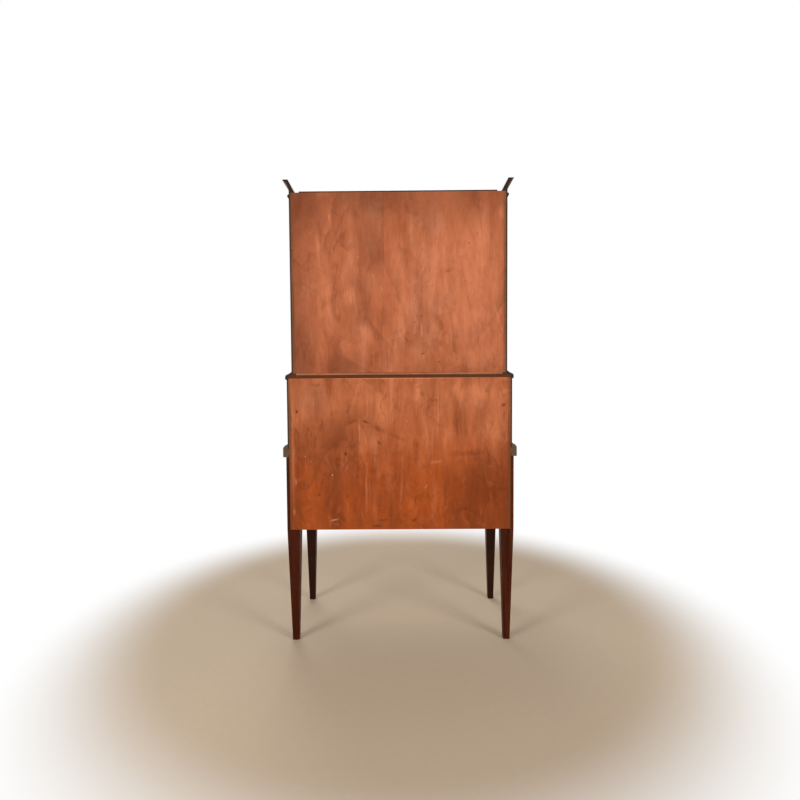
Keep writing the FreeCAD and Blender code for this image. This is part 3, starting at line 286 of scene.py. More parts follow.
def wood(name, tones, rough, wear=0.6, coat=0.22, shine=0.0, behind=None, ends=None):
    """A board with ribbon grain, fine lines, open pores and edges rubbed by use.

    rough is how dull it is, wear how bare its edges are, coat and shine how much polish and wood reflect.
    """
    dark, middle, light, worn = tones
    paint = Paint(name)
    where = log_place(paint)
    drift = paint.noise(where, 7, detail=2)
    ribbon = paint.noise(where, 48, detail=4, roughness=0.6, distortion=0.5)
    lines = paint.noise(where, 380, detail=3, roughness=0.65)
    pores = paint.step(paint.noise(where, 1300, detail=1), 0.6, 0.7)
    colour = paint.mix(paint.step(ribbon, 0.32, 0.68), tone(*dark), tone(*light))
    colour = paint.mix(paint.step(drift, 0.35, 0.65, 0.25, 0.75), colour, tone(*middle))
    colour = paint.mix(paint.step(lines, 0.4, 0.7, 0.0, 0.45), colour, tone(*dark))
    colour = paint.mix(paint.math("MULTIPLY", pores, PORE_SHARE), colour, shaded(dark, PORE_SHADE))
    patches = paint.step(paint.noise(paint.place, 70, detail=3), 0.42, 0.62, 0.15, wear)
    rubbed = paint.math("MULTIPLY", paint.edges(RUB_REACH), patches)
    colour = paint.mix(rubbed, colour, tone(*worn))
    dull = paint.noise(paint.place, 26, detail=4)
    roughness = paint.step(dull, 0.3, 0.7, rough - 0.03, rough + 0.05)
    if behind:
        colour, roughness = tone_back_faces(paint, colour, roughness, dull, behind, ends)
    height = paint.math("SUBTRACT", paint.math("MULTIPLY", lines, 0.4), paint.math("MULTIPLY", pores, 0.5))
    return paint.finish(colour, roughness, height, GRAIN_DEPTH, Coat_Weight=coat,
                        Coat_Roughness=COAT_ROUGHNESS, Specular_IOR_Level=shine)


def inset_from(paint, node, axes):
    """How far a point lies inside the box of a node, along each of those axes."""
    low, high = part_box(node)
    place = paint.parts(paint.place)
    nearest = {}
    for axis in axes:
        index = "XYZ".index(axis)
        nearest[axis] = paint.math("MINIMUM", paint.math("SUBTRACT", place[axis], low[index]),
                                   paint.math("SUBTRACT", high[index], place[axis]))
    return nearest


def between(paint, value, low, high, blur):
    """1 between two limits and 0 outside them."""
    return paint.math("MULTIPLY", paint.step(value, low - blur, low + blur),
                      paint.step(value, high + blur, high - blur))


# Drawer fronts
BAND_WIDTH = 13 * MM
LINE_WIDTH = 1.4 * MM
FIGURE_LEAN = math.radians(32)
MITRE_BLUR, BAND_BLUR, LINE_BLUR = 0.3 * MM, 0.2 * MM, 0.15 * MM
FLAME_DARK, FLAME_LIGHT = tone(88, 36, 18), tone(166, 86, 42)
FLAME_SHIMMER, FLAME_LINES = tone(138, 66, 32), tone(70, 28, 14)
BAND_DARK, BAND_LIGHT = tone(74, 30, 16), tone(122, 58, 30)
BOXWOOD = tone(206, 168, 104)
VENEER_DEPTH = 0.03 * MM


def flame_figure(paint):
    """The colour and the fine lines of two sheets of flame mahogany, mirrored about the middle."""
    place = paint.parts(paint.place)
    half = paint.math("ABSOLUTE", place["X"])
    wander = paint.math("MULTIPLY", paint.noise(paint.place, 7, detail=2), 0.12)
    lean, rise = math.sin(FIGURE_LEAN), math.cos(FIGURE_LEAN)
    across = paint.math("SUBTRACT", paint.math("MULTIPLY", half, rise),
                        paint.math("MULTIPLY", place["Z"], lean))
    along = paint.math("ADD", paint.math("MULTIPLY", half, lean), paint.math("MULTIPLY", place["Z"], rise))
    sheet = paint.add("ShaderNodeCombineXYZ", paint.math("ADD", across, wander), 0.0,
                      paint.math("MULTIPLY", along, 0.1)).outputs[0]
    flame = paint.noise(sheet, 34, detail=4, roughness=0.6, distortion=0.9)
    lines = paint.noise(sheet, 420, detail=2, roughness=0.6)
    shimmer = paint.noise(paint.place, 30, detail=2, distortion=1.0)
    colour = paint.mix(paint.step(flame, 0.34, 0.66), FLAME_DARK, FLAME_LIGHT)
    colour = paint.mix(paint.step(shimmer, 0.3, 0.7, 0.0, 0.35), colour, FLAME_SHIMMER)
    return paint.mix(paint.step(lines, 0.42, 0.7, 0.0, 0.5), colour, FLAME_LINES), lines


def banded(paint, node, colour):
    """That colour inside a line of boxwood and a band laid across the edge."""
    inset = inset_from(paint, node, "XZ")
    rim = paint.math("MINIMUM", inset["X"], inset["Z"])
    upright = paint.step(paint.math("SUBTRACT", inset["X"], inset["Z"]), -MITRE_BLUR, MITRE_BLUR)
    rows = paint.noise(paint.vector("MULTIPLY", paint.place, (1, 1, 0.06)), 300, detail=3)
    columns = paint.noise(paint.vector("MULTIPLY", paint.place, (0.06, 1, 1)), 300, detail=3)
    crossing = paint.add("ShaderNodeMix", upright, data_type="FLOAT")
    paint.feed(crossing.inputs[2], columns)
    paint.feed(crossing.inputs[3], rows)
    band = paint.mix(paint.step(crossing.outputs[0], 0.35, 0.65), BAND_DARK, BAND_LIGHT)
    colour = paint.mix(paint.step(rim, BAND_WIDTH + BAND_BLUR, BAND_WIDTH - BAND_BLUR), colour, band)
    line = between(paint, rim, BAND_WIDTH, BAND_WIDTH + LINE_WIDTH, LINE_BLUR)
    return paint.mix(line, colour, BOXWOOD)


def figured_veneer(name, node):
    """A drawer front of flame mahogany with a banded edge, under old polish."""
    paint = Paint(name)
    figure, lines = flame_figure(paint)
    colour = banded(paint, node, figure)
    dull = paint.noise(paint.place, 24, detail=4)
    roughness = paint.step(dull, 0.3, 0.7, 0.24, 0.38)
    return paint.finish(colour, roughness, lines, VENEER_DEPTH, Coat_Weight=0.2, Coat_Roughness=0.12,
                        Specular_IOR_Level=0.2)


# Back panels: right is measured from the middle as seen from behind, up from the floor, both in millimetres
DARK, PALE, DUSTY = "dark", "pale", "dusty"

UPPER_MARKS = (
    # kind, right, up, half width, half height, tilt, strength
    # Broad zones of the stain
    (DARK, -360, 1700, 120, 130, 0, 0.34),
    (DARK, -110, 1738, 200, 100, 0, 0.5),
    (DARK, 130, 1640, 130, 90, 0, 0.2),
    (DARK, -400, 1150, 110, 190, 0, 0.6),
    (DARK, -200, 1100, 190, 80, 0, 0.26),
    (PALE, 280, 1480, 170, 280, 0, 0.42),
    # A painted shadow line in the gap along the bottom edge
    (DARK, 0, 1066, 420, 2.5, 0, 0.5),
    # Wiped strokes
    (DARK, -92, 1505, 44, 115, 0, 0.16),
    (DARK, -146, 1400, 52, 62, 8, 0.3),
    (DARK, -120, 1310, 40, 95, -8, 0.22),
    (DARK, 50, 1580, 30, 120, 0, 0.2),
    (DARK, -300, 1610, 26, 60, 4, 0.2),
    (DARK, 190, 1330, 40, 80, -6, 0.14),
    (PALE, 316, 1560, 40, 150, 0, 0.3),
    (PALE, 397, 1679, 20, 42, 0, 0.35),
    (PALE, 5, 1470, 46, 150, 2, 0.5),
    (PALE, 15, 1306, 40, 120, -4, 0.5),
    (PALE, -276, 1395, 52, 120, -4, 0.55),
    (PALE, -262, 1300, 60, 110, 0, 0.5),
    (PALE, 345, 1250, 70, 150, 0, 0.35),
    (PALE, 150, 1390, 80, 120, 0, 0.35),
    (PALE, -194, 1350, 28, 50, 6, 0.38),
    (PALE, -124, 1211, 32, 66, 8, 0.42),
    (PALE, -310, 1540, 9, 110, 4, 0.4),
    (PALE, 250, 1260, 90, 150, 6, 0.5),
    (PALE, 290, 1120, 110, 70, 0, 0.4),
    (PALE, 90, 1455, 8, 60, -18, 0.35),
    # Painted shadow lines in the gaps along the side edges, then knocks, ticks and scratches
    (DARK, -408, 1300, 2.6, 250, 0, 0.85),
    (DARK, 409, 1400, 2.2, 330, 0, 0.7),
    (DARK, 193, 1455, 15, 11, 0, 0.4),
    (DARK, 28, 1195, 2.2, 20, 38, 0.9),
    (DARK, 91, 1138, 9, 4, 25, 0.7),
    (DARK, 155, 1107, 8, 5, 0, 0.5),
    (DARK, 272, 1561, 8, 2.5, 10, 0.7),
    (DARK, 304, 1597, 2, 9, -10, 0.6),
    (DARK, 186, 1619, 5, 3, 0, 0.5),
    (DARK, 88, 1284, 10, 5, 0, 0.5),
    (DARK, 63, 1262, 7, 4, 0, 0.5),
    (DARK, -411, 1540, 7, 5, 0, 0.8),
    (DARK, 412, 1458, 5, 16, 0, 0.7),
    (DARK, 411, 1405, 4, 24, 0, 0.5),
    (PALE, 388, 1262, 3, 66, 16, 0.8),
    (PALE, -266, 1663, 2, 16, 8, 0.9),
    (PALE, -99, 1439, 1.8, 18, 14, 0.9),
    (PALE, -66, 1390, 1.5, 17, 34, 0.6),
    (PALE, -156, 1512, 4, 3, 0, 0.9),
    (PALE, -270, 1559, 3, 4, 0, 0.8),
    (PALE, 5, 1215, 2, 22, 20, 0.6),
)

LOWER_MARKS = (
    # Broad zones of the stain
    (DARK, -225, 800, 80, 60, 0, 0.24),
    (DARK, 350, 610, 90, 70, 0, 0.22),
    (DARK, -300, 560, 110, 70, 0, 0.06),
    (DARK, -330, 985, 110, 60, 0, 0.16),
    (PALE, 290, 980, 160, 90, 0, 0.5),
    (PALE, 350, 840, 110, 120, 0, 0.36),
    (PALE, -420, 740, 15, 260, 0, 0.4),
    # A painted highlight along the top edge
    (PALE, 0, 1044, 440, 3, 0, 0.8),
    # Wiped strokes
    (DARK, -188, 873, 30, 6, 28, 0.65),
    (DARK, -130, 873, 27, 6, -20, 0.75),
    (DARK, -80, 845, 36, 12, -26, 0.6),
    (DARK, -10, 815, 56, 8, -25, 0.3),
    (DARK, 285, 748, 36, 18, 0, 0.34),
    (DARK, 303, 726, 22, 16, 10, 0.3),
    (DARK, 245, 748, 90, 18, 2, 0.3),
    (DARK, 305, 752, 34, 26, 0, 0.3),
    (DARK, 330, 700, 50, 60, 8, 0.2),
    (PALE, -80, 935, 80, 110, 0, 0.5),
    (PALE, -110, 800, 46, 80, 6, 0.35),
    (PALE, 72, 990, 18, 80, 0, 0.55),
    (PALE, 104, 825, 8, 90, 2, 0.5),
    (PALE, 128, 790, 6, 80, -2, 0.4),
    (PALE, -131, 620, 7, 150, 0, 0.3),
    (PALE, -118, 600, 5, 120, 1, 0.24),
    (PALE, -40, 640, 22, 110, 3, 0.2),
    (PALE, -97, 540, 18, 110, 0, 0.18),
    (PALE, 135, 560, 22, 130, -2, 0.18),
    (PALE, 4, 600, 10, 130, -3, 0.2),
    (PALE, 140, 716, 36, 9, 8, 0.45),
    (DUSTY, -330, 960, 110, 90, 0, 0.08),
    (PALE, -159, 842, 2.5, 58, 0, 0.95),
    (PALE, 149, 905, 3.5, 138, -1, 0.75),
    # Dark lines along the side edges, partly painted shadow of the gaps and partly dark edges, then knocks,
    # ticks and scuffs
    (DARK, -428, 830, 2.6, 240, 0, 0.8),
    (DARK, 427, 800, 4, 260, 0, 0.85),
    (DARK, 412, 1022, 24, 18, -30, 0.5),
    (DARK, -402, 915, 8, 9, 0, 0.95),
    (DARK, 405, 939, 12, 9, 20, 0.7),
    (DARK, 341, 993, 10, 10, 0, 0.5),
    (DARK, -80, 793, 8, 12, 30, 0.7),
    (DARK, -213, 749, 8, 9, 0, 0.8),
    (DARK, -250, 480, 18, 7, 0, 0.8),
    (DARK, -67, 486, 30, 5, 6, 0.5),
    (DARK, 56, 485, 14, 8, 30, 0.7),
    (DARK, -92, 462, 26, 5, 0, 0.8),
    (DARK, 258, 530, 4, 8, 0, 0.7),
    (DARK, 260, 489, 4, 6, 0, 0.7),
    (DARK, -318, 588, 8, 4, 0, 0.8),
    (DARK, -205, 582, 5, 9, -20, 0.7),
    (PALE, -409, 641, 8, 14, 0, 0.7),
    (PALE, -415, 520, 9, 22, 0, 0.5),
    (DUSTY, -256, 489, 24, 3, 12, 0.7),
    (DUSTY, -265, 665, 3.5, 3.5, 0, 1.0),
    (DUSTY, -370, 738, 2.5, 2.5, 0, 0.8),
    (DUSTY, -348, 720, 2, 2, 0, 0.8),
    (DUSTY, 30, 876, 4, 2, 40, 0.6),
    (DUSTY, 105, 620, 2, 12, -30, 0.4),
)
# Where two sheets of veneer meet: right, the way to the darker sheet (-1 left, 1 right), then the dark zone
# that ends there: right, up, half width, half height, strength
UPPER_JOINTS = ((-56, -1, -100, 1590, 95, 250, 0.36),)
LOWER_JOINTS = ((-159, -1, -265, 790, 200, 160, 0.36), (172, 1, 310, 560, 240, 200, 0.36))
# Where the panel grows darker: axis of the frame, where that starts, where it is darkest, strength
UPPER_DEEPENS = (("Z", 1600, 1765, 0.35), ("X", 270, 420, 0.4), ("X", -390, -420, 0.12),
                 ("Z", 1160, 1060, 0.1))
LOWER_DEEPENS = (("X", 340, 440, 0.2), ("X", -390, -440, 0.16), ("Z", 820, 600, 0.12))

# Layers of noise: stretch along the grain, scale, detail, roughness, distortion
STAIN_LAYERS = {
    "flow": (0.13, 8, 2, 0.5, 0.7),
    "blotch": (0.5, 5, 2, 0.5, 0.5),
    "bands": (0.14, 11, 3, 0.5, 0.3),
    "mottle": (0.4, 18, 4, 0.55, 0.4),
    "columns": (0.16, 34, 3, 0.5, 0.3),
    "streaks": (0.06, 120, 4, 0.65, 0.0),
    "lines": (0.03, 700, 2, 0.6, 0.0),
    "curls": (0.6, 30, 2, 0.5, 1.3),
}
# How much each layer counts in the stain, and how much the fine streaks do at most
LAYER_SHARES = (("blotch", 0.24), ("bands", 0.27), ("mottle", 0.26), ("columns", 0.11))
FULL_FINE = 0.12
HALF_FINE = FULL_FINE / 2
# Coats of stain that end in a crisp line: stretch along the grain, scale, seed, strength
LAPS = ((0.45, 4, 3.1, 0.36), (0.8, 9, 7.7, 0.28))
# Into how many coats the noise is cut
LAP_COUNT = 5
# The deeper foot, partly stain and partly painted shade: between which levels it comes in, in metres, how
# far that wanders, and how much it covers
FOOT_LEVELS = (1.1, 0.72)
FOOT_WANDER = 0.25
FOOT_SHARE = 0.95
# Curled scuffs: kind, where they start, where they are full, strength
CURLS = ((PALE, 0.56, 0.66, 0.45), (DARK, 0.44, 0.34, 1.0))
# How much they cover for each share of fine streaks
SCUFFS = 2.0
# Marks, in millimetres: below which breadth they are crisp, and above which they are broad
CRISP_BELOW, BROAD_ABOVE = 4, 12
# How far their rims fray: for each millimetre of breadth, in any case, and at most
FRAY_SHARE, FRAY_LEAST, FRAY_MOST = 1.6, 3, 90
# The same for joints and for their dark zones
JOINT_FRAY, ZONE_FRAY = 8, 60
# A mark is long from this many times its breadth
LONG_FROM = 2.5
# A crisp mark is full up to this share of its size
SPOT_CORE = 0.4
# Marks are so deep, in metres, that depth makes no difference
SPOT_DEPTH = 1000
RINGS, RING_SHARE = 20, 0.12
SCRATCH_LEAN, SCRATCH_STRETCH = math.radians(24), 0.03
RIM_WIDTH = 15 * MM
RIM_FULL = 0.2 * RIM_WIDTH
PANEL_RUB = 2.2 * MM
PANEL_DEPTH = 0.07 * MM
# Tones, and shares by which others are made darker or paler
DUST_TONE, SCRATCH_TONE = tone(226, 190, 160), tone(214, 150, 112)
SPECK_TONE, RIM_TONE = tone(78, 38, 22), tone(106, 68, 40)
DEEPER = (0.54, 0.48, 0.4)
PALER = 1.1
FOOT_SHADES = (0.86, 1.1)
LAP_SHADE, RING_SHADE, LINE_SHADE, WORN_SHADE = 0.72, 0.62, 0.6, 0.6


class StainedPanel(Paint):
    """Rotary-cut plywood under an uneven stain. Methods after cover lay one thing each over the colour."""

    def __init__(self, name, light, middle, dark, foot, fine):
        super().__init__(name)
        self.axes = self.parts(self.place)
        self.tones = {DARK: tone(*[share * part for share, part in zip(DEEPER, foot or dark)]),
                      PALE: shaded(light, PALER), DUSTY: DUST_TONE}
        self.layers = {}
        for layer, (stretch, scale, *kind) in STAIN_LAYERS.items():
            self.layers[layer] = self.noise(self.drawn(stretch), scale, *kind)
        self.uneven = 0.5 * (FULL_FINE - fine)
        for layer, share in (*LAYER_SHARES, ("streaks", fine)):
            self.uneven = self.math("MULTIPLY_ADD", self.layers[layer], share, self.uneven)
        self.broken = self.step(self.both("mottle", "streaks"), 0.8, 1.15, 0.45, 1.0)
        self.cloudy = self.step(self.both("mottle", "columns"), 0.75, 1.2, 0.6, 1.0)
        ragged = self.noise(self.drawn(0.4), 30, detail=5, roughness=0.65, output="Color")
        self.push = self.vector("SUBTRACT", ragged, (0.5, 0.5, 0.5))
        self.colour = self.mix(self.step(self.uneven, 0.38, 0.5), tone(*dark), tone(*middle))
        self.cover(self.step(self.uneven, 0.49, 0.62), tone(*light))

    def drawn(self, stretch):
        return self.vector("MULTIPLY", self.place, (1, 1, stretch))

    def both(self, one, other):
        return self.math("ADD", self.layers[one], self.layers[other])

    def frayed(self, reach):
        return self.vector("ADD", self.place, self.scaled(self.push, reach * MM))

    def spot(self, fray, right, up, width, height, tilt=0.0, core=SPOT_CORE):
        """1 in the middle of a mark, and 0 from its frayed rim outwards. Long ones fade at their ends."""
        local = self.add("ShaderNodeMapping", self.frayed(fray), vector_type="TEXTURE")
        local.inputs["Location"].default_value = (-right * MM, 0, up * MM)
        local.inputs["Rotation"].default_value = (0, math.radians(tilt), 0)
        local.inputs["Scale"].default_value = (width * MM, SPOT_DEPTH, height * MM)
        if max(width, height) < LONG_FROM * min(width, height):
            return self.step(self.vector("LENGTH", local.outputs[0]), 1.0, core)
        sides = self.parts(self.vector("ABSOLUTE", local.outputs[0]))
        return self.math("MULTIPLY", self.step(sides["X"], 1.0, core if width < height else 0.0),
                         self.step(sides["Z"], 1.0, core if height < width else 0.0))

    def cover(self, share, over):
        self.colour = self.mix(share, self.colour, over)

    # The foot: darker lower down, partly stain and partly painted shade
    def deepen_foot(self, foot):
        level = self.math("MULTIPLY_ADD", self.layers["columns"], FOOT_WANDER, self.axes["Z"])
        deep = self.mix(self.step(self.uneven, 0.4, 0.6), *[shaded(foot, share) for share in FOOT_SHADES])
        self.cover(self.step(level, *FOOT_LEVELS, 0.0, FOOT_SHARE), deep)

    def lap(self, dark):
        for stretch, scale, seed, strength in LAPS:
            where = self.vector("ADD", self.drawn(stretch), (seed, 0, seed))
            pooled = self.noise(where, scale, detail=3, roughness=0.5, distortion=0.9)
            pooled = self.math("FRACT", self.math("MULTIPLY", pooled, LAP_COUNT))
            rise = self.math("MULTIPLY", self.math("POWER", pooled, 2.0), self.step(pooled, 1.0, 0.95))
            there = self.step(self.noise(where, 7, detail=2), 0.4, 0.6, 0.0, strength)
            self.cover(self.math("MULTIPLY", rise, there), shaded(dark, LAP_SHADE))

    def deepen(self, zones):
        for axis, start, end, strength in zones:
            share = self.step(self.axes[axis], start * MM, end * MM, 0.0, strength)
            self.cover(self.math("MULTIPLY", share, self.cloudy), self.tones[DARK])

    def join_sheets(self, joints):
        for right, side, *zone, strength in joints:
            line = self.parts(self.frayed(JOINT_FRAY))["X"]
            beyond = self.step(line, -(right + side) * MM, -(right - side) * MM, 1.0, 0.0)
            share = self.math("MULTIPLY", beyond, self.spot(ZONE_FRAY, *zone))
            share = self.math("MULTIPLY", share, strength)
            self.cover(self.math("MULTIPLY", share, self.cloudy), self.tones[DARK])

    def mark(self, marks):
        for kind, right, up, width, height, tilt, strength in marks:
            breadth = min(width, height)
            broad = breadth > BROAD_ABOVE
            crisp = breadth < CRISP_BELOW or kind == DARK and not broad
            fray = min(FRAY_SHARE * breadth + FRAY_LEAST, FRAY_MOST)
            share = self.spot(fray, right, up, width, height, tilt, SPOT_CORE if crisp else 0.0)
            share = self.math("MULTIPLY", share, strength)
            share = self.math("MULTIPLY", share, self.cloudy if broad else self.broken)
            self.cover(share, self.tones[kind])

    def scuff(self, fine):
        there = self.step(self.noise(self.place, 9, detail=2), 0.42, 0.58, 0.0, SCUFFS * fine)
        for kind, low, high, strength in CURLS:
            share = self.step(self.layers["curls"], low, high, 0.0, strength)
            self.cover(self.math("MULTIPLY", share, there), self.tones[kind])

    def grain(self, dark):
        """The rings and the fine lines of the veneer."""
        turns = self.math("PINGPONG", self.math("MULTIPLY", self.layers["flow"], RINGS), 1.0)
        rings = self.step(turns, 0.0, 0.3, 1.0, 0.0)
        self.cover(self.math("MULTIPLY", rings, RING_SHARE), shaded(dark, RING_SHADE))
        self.cover(self.step(self.layers["lines"], 0.45, 0.75, 0.0, 0.24), shaded(dark, LINE_SHADE))

    def scratch(self):
        where = self.add("ShaderNodeMapping", self.place)
        where.inputs["Rotation"].default_value = (0, SCRATCH_LEAN, 0)
        where.inputs["Scale"].default_value = (1, 1, SCRATCH_STRETCH)
        scratches = self.noise(where.outputs[0], 420, detail=1)
        self.cover(self.step(scratches, 0.77, 0.8, 0.0, 0.35), SCRATCH_TONE)

    def speck(self):
        specks = self.step(self.noise(self.place, 260, detail=1), 0.76, 0.8, 0.0, 0.5)
        self.cover(specks, SPECK_TONE)
        return specks

    def wear(self, node, middle):
        """Darker along the upright edges, and corners rubbed dark by use."""
        rim = self.step(inset_from(self, node, "X")["X"], RIM_WIDTH, RIM_FULL)
        patchy = self.step(self.both("mottle", "columns"), 0.8, 1.2, 0.4, 0.75)
        self.cover(self.math("MULTIPLY", rim, patchy), RIM_TONE)
        rubbed = self.step(self.layers["mottle"], 0.4, 0.6, 0.2, 0.8)
        self.cover(self.math("MULTIPLY", self.edges(PANEL_RUB), rubbed), shaded(middle, WORN_SHADE))


def stained_panel(name, node, tones, marks, deepens, joints, fine, foot=None):
    """A back panel with the laps, smears, scuffs and knocks of its age, and painted shadow and highlight
    lines along its edges.

    fine is how much the finest streaks show, and foot the deeper tone lower down, partly stain and partly
    painted shade.
    """
    light, middle, dark = tones
    panel = StainedPanel(name, light, middle, dark, foot, fine)
    if foot:
        panel.deepen_foot(foot)
    panel.lap(dark)
    panel.deepen(deepens)
    panel.join_sheets(joints)
    panel.mark(marks)
    panel.scuff(fine)
    panel.grain(dark)
    panel.scratch()
    specks = panel.speck()
    panel.wear(node, middle)
    roughness = panel.step(panel.uneven, 0.35, 0.65, 0.5, 0.62)
    height = panel.math("SUBTRACT", panel.math("MULTIPLY", panel.layers["lines"], 0.5),
                        panel.math("MULTIPLY", specks, 0.6))
    return panel.finish(panel.colour, roughness, height, PANEL_DEPTH, Specular_IOR_Level=0.1)


# Leather, metal and glass

# Gilt lines, in millimetres from the rim: where each starts and ends
TOOLING = ((7, 8.2), (9.6, 10.2), (17.6, 18.2), (19.6, 20.8))
TOOLING_BLUR = 0.12 * MM
STAMP_ROW = 13.9 * MM
STAMP_PITCH = 9 * MM
STAMP_RIM, STAMP_CORE = 1.5 * MM, 1.2 * MM
HIDE_CELLS = 650
HIDE_DEPTH = 0.12 * MM
HIDE_DARK, HIDE_LIGHT, HIDE_CREASE = tone(24, 46, 33), tone(46, 70, 48), tone(16, 30, 22)
GILT = tone(190, 146, 70)


def stamped_dots(paint, inset, rim):
    """A row of dots round the border, counted from its corners."""
    farther = paint.math("MAXIMUM", inset["X"], inset["Y"])
    across = paint.math("SUBTRACT", rim, STAMP_ROW)
    from_corner = paint.math("ADD", farther, STAMP_PITCH / 4 - STAMP_ROW)
    along = paint.math("SUBTRACT", paint.math("PINGPONG", from_corner, STAMP_PITCH / 2), STAMP_PITCH / 4)
    squares = paint.math("ADD", paint.math("POWER", across, 2.0), paint.math("POWER", along, 2.0))
    return paint.step(paint.math("SQRT", squares), STAMP_RIM, STAMP_CORE)


def tooled_leather(name, node):
    """Dyed hide with a fine grain, and a border of gilt lines and stamped dots."""
    paint = Paint(name)
    inset = inset_from(paint, node, "XY")
    rim = paint.math("MINIMUM", inset["X"], inset["Y"])
    cells = paint.add("ShaderNodeTexVoronoi", paint.place, feature="SMOOTH_F1")
    cells.inputs["Scale"].default_value = HIDE_CELLS
    patina = paint.noise(paint.place, 9, detail=4, roughness=0.6)
    creases = paint.noise(paint.place, 60, detail=5, roughness=0.7, distortion=0.6)
    colour = paint.mix(paint.step(patina, 0.3, 0.7), HIDE_DARK, HIDE_LIGHT)
    colour = paint.mix(paint.step(creases, 0.5, 0.75, 0.0, 0.5), colour, HIDE_CREASE)
    gilt = stamped_dots(paint, inset, rim)
    for low, high in TOOLING:
        gilt = paint.math("MAXIMUM", gilt, between(paint, rim, low * MM, high * MM, TOOLING_BLUR))
    rubbed = paint.step(paint.noise(paint.place, 45, detail=4), 0.33, 0.55, 0.25, 0.95)
    gilt = paint.math("MULTIPLY", gilt, rubbed)
    colour = paint.mix(gilt, colour, GILT)
    height = paint.math("SUBTRACT", cells.outputs["Distance"], gilt)
    roughness = paint.step(patina, 0.3, 0.7, 0.42, 0.56)
    return paint.finish(colour, roughness, height, HIDE_DEPTH, Specular_IOR_Level=0.25)


BRASS_DULL, BRASS_CLEAN = tone(150, 112, 56), tone(204, 164, 92)
BRASS_PITS, BRASS_BRIGHT = tone(86, 62, 34), tone(226, 190, 120)
BRASS_RUB = 0.8 * MM
PIT_DEPTH = 0.03 * MM


def aged_brass(name):
    """Cast brass, bright where hands rub it and brown where they don't."""
    paint = Paint(name)
    cloud = paint.noise(paint.place, 55, detail=4, roughness=0.6)
    pits = paint.step(paint.noise(paint.place, 700, detail=2), 0.66, 0.74)
    colour = paint.mix(paint.step(cloud, 0.35, 0.65), BRASS_DULL, BRASS_CLEAN)
    colour = paint.mix(paint.math("MULTIPLY", pits, 0.6), colour, BRASS_PITS)
    colour = paint.mix(paint.math("MULTIPLY", paint.edges(BRASS_RUB), 0.6), colour, BRASS_BRIGHT)
    roughness = paint.step(cloud, 0.3, 0.7, 0.42, 0.24)
    return paint.finish(colour, roughness, pits, -PIT_DEPTH, Metallic=1.0)


GLASS_TINT = (0.95, 0.98, 0.96, 1.0)
GLASS_WAVES = 0.15 * MM


def old_glass(name):
    """Drawn sheet glass, faintly green and not quite flat, that lets the lamps light what is behind it."""
    paint = Paint(name)
    waves = paint.noise(paint.vector("MULTIPLY", paint.place, (1, 1, 0.45)), 11, detail=2)
    paint.finish(GLASS_TINT, 0.02, waves, GLASS_WAVES, Transmission_Weight=1.0, IOR=1.3)
    lamp_ray = paint.add("ShaderNodeLightPath").outputs["Is Shadow Ray"]
    clear = paint.add("ShaderNodeBsdfTransparent", GLASS_TINT)
    shade = paint.add("ShaderNodeMixShader", lamp_ray, paint.shader.outputs[0], clear.outputs[0])
    paint.tree.links.new(shade.outputs[0], paint.tree.nodes["Material Output"].inputs["Surface"])
    return paint.material


STEEL, RUST = tone(104, 98, 92), tone(82, 50, 32)
RUST_DEPTH = 0.05 * MM


def pin_steel(name):
    """Wire pins with a brown film of rust."""
    paint = Paint(name)
    rust = paint.noise(paint.place, 900, detail=3)
    colour = paint.mix(paint.step(rust, 0.4, 0.6), STEEL, RUST)
    return paint.finish(colour, paint.step(rust, 0.4, 0.6, 0.4, 0.75), rust, RUST_DEPTH, Metallic=0.8)


# Tones of dirt in the screw seats, also painted shade in the groove round each head
GRIME_AND_SHADE_DARK, GRIME_AND_SHADE_LIGHT = tone(38, 26, 14), tone(66, 48, 27)
GRIME_DEPTH = 0.03 * MM


def grime(name):
    """Old polish and dirt packed into corners, dark also as painted shade in the groove round each screw
    head.
    """
    paint = Paint(name)
    lumps = paint.noise(paint.place, 1400, detail=3)
    colour = paint.mix(paint.step(lumps, 0.35, 0.65), GRIME_AND_SHADE_DARK, GRIME_AND_SHADE_LIGHT)
    return paint.finish(colour, paint.step(lumps, 0.35, 0.65, 0.7, 0.9), lumps, GRIME_DEPTH)


# Stage: floor, light, background
AMBIENT = 0.31
WHITE = (1, 1, 1, 1)
FLOOR_TONE, FLOOR_SPECKS = tone(196, 175, 149), tone(172, 156, 136)
FLOOR_REACH = 12.0
# From where the floor passes into white, and where it is white, in metres from the middle
POOL = (0.95, 1.5)
# Lamps: place, size and power
LAMPS = {
    "lamp_right": ((-2.3, 2.6, 1.7), 1.2, 54),
    "lamp_left": ((2.3, 2.6, 1.7), 1.2, 54),
    "lamp_front": ((0.9, -3.0, 3.4), 2.6, 75),
}
LAMP_TARGET = (0, 0, 0.9)


def background_share(paint_tree):
    """1 where the background itself is looked at, straight or in metal and glass."""
    rays = paint_tree.nodes.new("ShaderNodeLightPath").outputs
    share = rays["Is Camera Ray"]
    for name in ("Is Glossy Ray", "Is Transmission Ray"):
        widest = paint_tree.nodes.new("ShaderNodeMath")
        widest.operation = "MAXIMUM"
        paint_tree.links.new(share, widest.inputs[0])
        paint_tree.links.new(rays[name], widest.inputs[1])
        share = widest.outputs[0]
    return share


def light_world():
    """A white background that lights the desk only softly."""
    world = bpy.data.worlds.new("studio")
    bpy.context.scene.world = world
    world.use_nodes = True
    tree = world.node_tree
    strength = tree.nodes.new("ShaderNodeMapRange")
    strength.inputs["To Min"].default_value = AMBIENT
    tree.links.new(background_share(tree), strength.inputs["Value"])
    shade = tree.nodes["Background"]
    shade.inputs["Color"].default_value = WHITE
    tree.links.new(strength.outputs["Result"], shade.inputs["Strength"])


